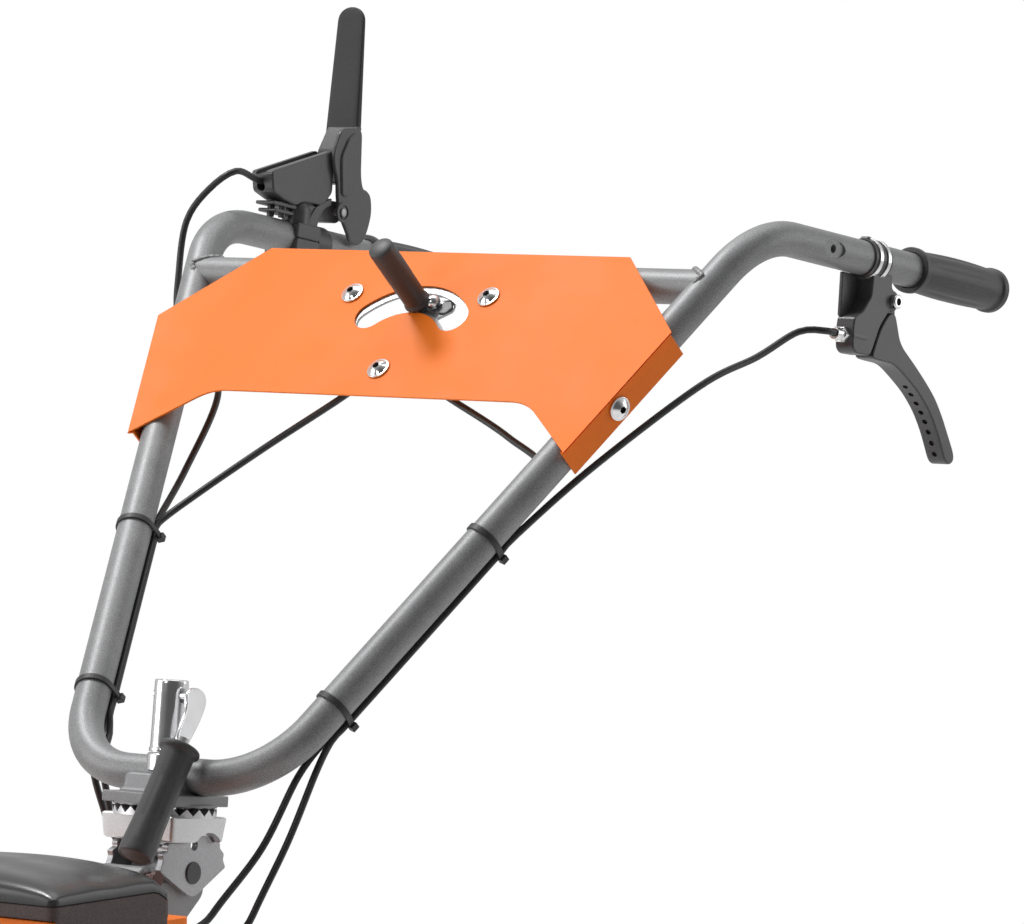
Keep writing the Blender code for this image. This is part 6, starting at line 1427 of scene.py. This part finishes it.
# %% [markdown]
# ## The wheels
#
# The tyres are fat turf tyres. Their tread is a height on a turned surface: slanting blocks on
# each half, set half a step apart. The blocks need points close together only in the tread, so
# the profile has many rows there and few on the walls. The rims are pressed steel dishes.

# %% Wheels
LUGS, LUG_HIGH, LUG_SLANT, TYRE_R = 22, 0.0068, 55, AXLE_Z
tread_h = np.linspace(-0.047, 0.047, 64)
tread = np.stack([TYRE_R - 0.007 - 0.004 * (tread_h / 0.047) ** 4, tread_h], -1)
wall = rounded(mm((94.5, 33.5), (99, 34), (108, 48), (125, 50), (142, 49.5), (153, 47.4)), 0.006, 5,
               closed=False)
tyre_profile = np.concatenate([wall * (1, -1), tread, wall[::-1]])


def tread_blocks(a, h):
    """Radius factor: 1 + lug / r. The lug is a slanting block with steep sides, faded at the shoulder."""
    half = np.where(h > 0, 0.0, pi)
    wave = np.sin(a * LUGS + np.abs(h) * LUG_SLANT + half)
    block = np.clip(wave * 5 + 1.5, 0, 1)
    centre = np.clip((np.abs(h) - 0.002) / 0.0012, 0, 1)
    shoulder = np.clip((0.049 - np.abs(h)) / 0.002, 0, 1) * (np.abs(h) < 0.0472)
    return 1 + LUG_HIGH * block * centre * shoulder / TYRE_R


rim_profile = rounded(mm((0, 50), (24, 50), (24, 10), (40, 6), (62, 13), (86, 5), (86, 37), (96, 37),
                         (96, 34.3), (89.7, 34.3), (89.7, -34.3), (96, -34.3), (86, -37), (86, -1),
                         (62, 9.5), (40, 2.5), (24, -1), (24, -30), (10.3, -30), (10.3, 45.5), (0, 45.5)),
                      0.003, 4, closed=False)
for side, sign in (("left", 1), ("right", -1)):
    wheel = at(sign * TRACK_HALF, AXLE_Y, AXLE_Z) @ turned_about("Y", sign * pi / 2)
    show(lathe(f"{side}_turf_tyre", tyre_profile, wheel, 440, tread_blocks), "tyre_rubber", f"{side}_wheel",
         f"{side}_tyre")
    show(lathe(f"{side}_wheel_dish", rim_profile, wheel, 72), "orange_powder_coat", f"{side}_wheel",
         f"{side}_rim")

# %% [markdown]
# ## The brush head
#
# A motor stands on a plate and drives the brush through a small gear housing. The guard is a flat
# pressed cover with a deep skirt behind and a lip in front, so that the wires reach the kerb. The
# brush is a disc with tufts of spring wire. Each wire is a thin three-sided tube along a curve,
# and all of them are made as one array.

# %% Motor, gear housing and plate
BRUSH_Y = joint_place("brush_spin").y
HEAD = at(0, BRUSH_Y, 0)
FINS, FIN_LOW, FIN_ROOM, FIN_R, FIN_DEEP = 9, 0.236, 0.082, 0.064, 0.0035
fin_z = np.linspace(FIN_LOW, 0.318, 120)
fin_r = FIN_R - FIN_DEEP * (np.sin((fin_z - FIN_LOW) / FIN_ROOM * 2 * pi * FINS) < -0.2)
motor_foot = rounded(mm((0, 218.3), (70, 218.3), (70, 222.3), (64, 226.3), (64, 235.5)),
                     0.002, 4, closed=False)
motor_lid = rounded(mm((64, 318.5), (64, 335), (60, 348), (50, 353.3), (0, 353.3)),
                    0.005, 5, closed=False)
motor_profile = np.concatenate([motor_foot, np.stack([fin_r, fin_z], -1), motor_lid])
show(lathe("motor_housing", motor_profile, HEAD, 96), "black_moulding", "brush_head", "brush_motor")
gear_profile = rounded(mm((0, 211.7), (55, 211.7), (55, 205.7), (45, 202.7), (45, 171.8), (57, 167.8),
                          (57, 162.8), (12.3, 162.8), (12.3, 201.7), (0, 201.7)), 0.0016, 4, closed=False)
show(lathe("gear_case", gear_profile, HEAD, 72), "blasted_aluminium", "brush_head", "gear_housing")
TILT_PLACE = Matrix.Translation(joint_place("brush_tilt"))
plate_rear, plate_front = joint_place("brush_tilt").y - 0.004, BRUSH_Y - 0.08
head_plate = slab("head_plate", rectangle(0.09, plate_front, plate_rear, 0.018, 8), 0.212, 0.218, 0.0012)
head_web = slab("tool", rectangle(0.035, 0.179, 0.216, 0.008), -0.005, 0.005, 0.0008,
                at(0, plate_rear - 0.005, 0) @ turned_about("X", pi / 2))
join(head_plate, head_web, peg(0.012, 0.055, TILT_PLACE @ at(0, 0.0215, 0) @ ALONG_Y, 40))
show(head_plate, "grey_powder_coat", "brush_head", "head_frame")

# %% Guard
GUARD_R, GUARD_TOP, GUARD_SHEET = 0.304, 0.1625, 0.0025
GUARD_LIP, SKIRT_MORE, INNER_FROM = 0.006, 0.064, 0.28


def guard_grid(around=192):
    """Rings from the hole over the edge and down the skirt, which is deep behind and a lip in front."""
    a = np.linspace(0, 2 * pi, around, endpoint=False)
    back = np.clip((GUARD_R * np.sin(a) + 0.01) / 0.03, 0, 1)
    depth = GUARD_LIP + SKIRT_MORE * back ** 2 * (3 - 2 * back)
    t = np.linspace(0, pi / 2, 8)
    outer = [(0.02, 0.0), (0.12, 0.0), (0.19, 0.0), (0.198, -0.0025), (0.25, -0.0025), (0.258, 0.0),
             (0.29, 0.0)]
    outer += [(GUARD_R - 0.006 * (1 - sin(b)), -0.006 * (1 - cos(b))) for b in t]
    rows = [ring_at(a, r, GUARD_TOP + z) for r, z in outer[:-1]]
    rows += [ring_at(a, r, GUARD_TOP - GUARD_SHEET - depth) for r in (GUARD_R, GUARD_R - GUARD_SHEET)]
    rows += [ring_at(a, r - GUARD_SHEET * (r > INNER_FROM), GUARD_TOP + z - GUARD_SHEET)
             for r, z in outer[:-1][::-1]]
    return np.stack(rows)


show(skin("guard_cover", guard_grid(), HEAD, close_rows=True), "orange_powder_coat", "brush_head",
     "brush_guard")

# %% Disc of the brush
disc_profile = rounded(mm((0, 201.4), (12, 201.4), (12, 154), (30, 154), (30, 123), (130, 123), (130, 113),
                          (20, 113), (20, 101), (0, 101)), 0.001, 3, closed=False)
show(lathe("brush_disc", disc_profile, HEAD, 96), "zinc_plate", "rotary_brush", "brush")

# %% Wires of the brush
draw = np.random.default_rng(11)
TUFTS, WIRES, ALONG = 30, 26, 7
WIRE_R, ROOT_R, TUFT_WIDE, WIRE_REACH, SHORTER = 0.0009, 0.11, 0.007, 0.154, 0.012
ROOT_Z, TIP_Z, TIP_UNEVEN, SAG = 0.115, 0.0035, 0.003, 0.01


def wires():
    """Each wire goes from its root under the disc to a tip near the ground: a line with a sag between."""
    tuft = np.repeat(np.arange(TUFTS), WIRES)
    total = TUFTS * WIRES
    spread = draw.uniform(-1, 1, total)
    row = draw.uniform(0, 1, total)
    turn = 2 * pi * (tuft + 0.5) / TUFTS
    t = np.linspace(0, 1, ALONG)[None, :]
    long = WIRE_REACH - SHORTER * draw.uniform(0, 1, total)
    reach = ROOT_R + TUFT_WIDE * row[:, None] + long[:, None] * t
    aside = spread[:, None] * (0.004 + 0.015 * t)
    down = ROOT_Z + (TIP_Z + TIP_UNEVEN * row[:, None] - ROOT_Z) * t + SAG * np.sin(pi * t)
    along = np.stack([np.cos(turn), np.sin(turn), 0 * turn], -1)[:, None]
    across_it = np.stack([-np.sin(turn), np.cos(turn), 0 * turn], -1)[:, None]
    up = np.array([0, 0, 1.0])
    path = along * reach[..., None] + across_it * aside[..., None] + up * down[..., None]
    corner = (2 * pi * np.arange(3) / 3)[None, None, :, None]
    ring = across_it[:, :, None] * np.cos(corner) + up * np.sin(corner)
    points = path[:, :, None] + ring * WIRE_R
    quads = np.array(grid_faces(ALONG, 3))
    faces = (quads[None] + (np.arange(total) * ALONG * 3)[:, None, None]).reshape(-1, 4).tolist()
    starts = np.arange(total) * ALONG * 3
    faces += np.stack([starts + 2, starts + 1, starts], -1).tolist()
    last = starts + (ALONG - 1) * 3
    faces += np.stack([last, last + 1, last + 2], -1).tolist()
    return mesh_piece("brush_wires", points, faces, HEAD)


show(wires(), "spring_wire", "rotary_brush")
print("wires", TUFTS * WIRES)

# %% [markdown]
# ## The floor
#
# The machine stands on a pale floor that fades to the white of the studio a few metres away. The
# background is the world's own white, seen by the camera directly and through clear things. For
# all other rays the world is graded: fairly bright behind the machine, and dim behind the camera,
# as a room behind a photographer is. That gives the chrome and the tubes their dark bands. A world
# that is white all round would be simpler, but the plated nut would vanish in it.

# %% Floor
FLOOR_R, FADE_FROM = 3.4, 1.2
rings = [np.concatenate([circle(r, 96), np.zeros((96, 1))], 1) for r in (0.0, FLOOR_R)]
floor = skin("floor", np.stack(rings), caps=False)
fade = Recipe("studio_floor", (0.86, 0.86, 0.86), 0.9)
distance = fade.node("VectorMath", {"operation": "LENGTH"}, {0: fade.here}, output=1)
share = fade.node("MapRange", {"clamp": True},
                  {0: distance, 1: FADE_FROM, 2: FLOOR_R * 0.98, 3: 1.0, 4: 0.0})
fade.put("Alpha", share)
floor.data.materials.append(fade.material)

# %% World
BACK_WALL, CAMERA_WALL = 0.62, 0.1
world = bpy.data.worlds.new("studio")
world.use_nodes = True
bpy.context.scene.world = world
nodes, links = world.node_tree.nodes, world.node_tree.links
background = nodes["Background"]
background.inputs["Color"].default_value = (1, 1, 1, 1)
rays = nodes.new("ShaderNodeLightPath")
seen = nodes.new("ShaderNodeMath")
seen.operation = "MAXIMUM"
links.new(rays.outputs["Is Camera Ray"], seen.inputs[0])
links.new(rays.outputs["Is Transmission Ray"], seen.inputs[1])
direction = nodes.new("ShaderNodeTexCoord")
facing = nodes.new("ShaderNodeVectorMath")
facing.operation = "DOT_PRODUCT"
facing.inputs[1].default_value = TOWARDS
links.new(direction.outputs["Generated"], facing.inputs[0])
walls = nodes.new("ShaderNodeMapRange")
walls.interpolation_type = "SMOOTHSTEP"
for socket, value in (("From Min", -0.1), ("From Max", 0.85), ("To Min", BACK_WALL),
                      ("To Max", CAMERA_WALL)):
    walls.inputs[socket].default_value = value
links.new(facing.outputs["Value"], walls.inputs["Value"])
level = nodes.new("ShaderNodeMix")
links.new(seen.outputs[0], level.inputs["Factor"])
links.new(walls.outputs["Result"], level.inputs["A"])
level.inputs["B"].default_value = 1.0
links.new(level.outputs["Result"], background.inputs["Strength"])
bpy.context.scene.view_settings.view_transform = "Standard"
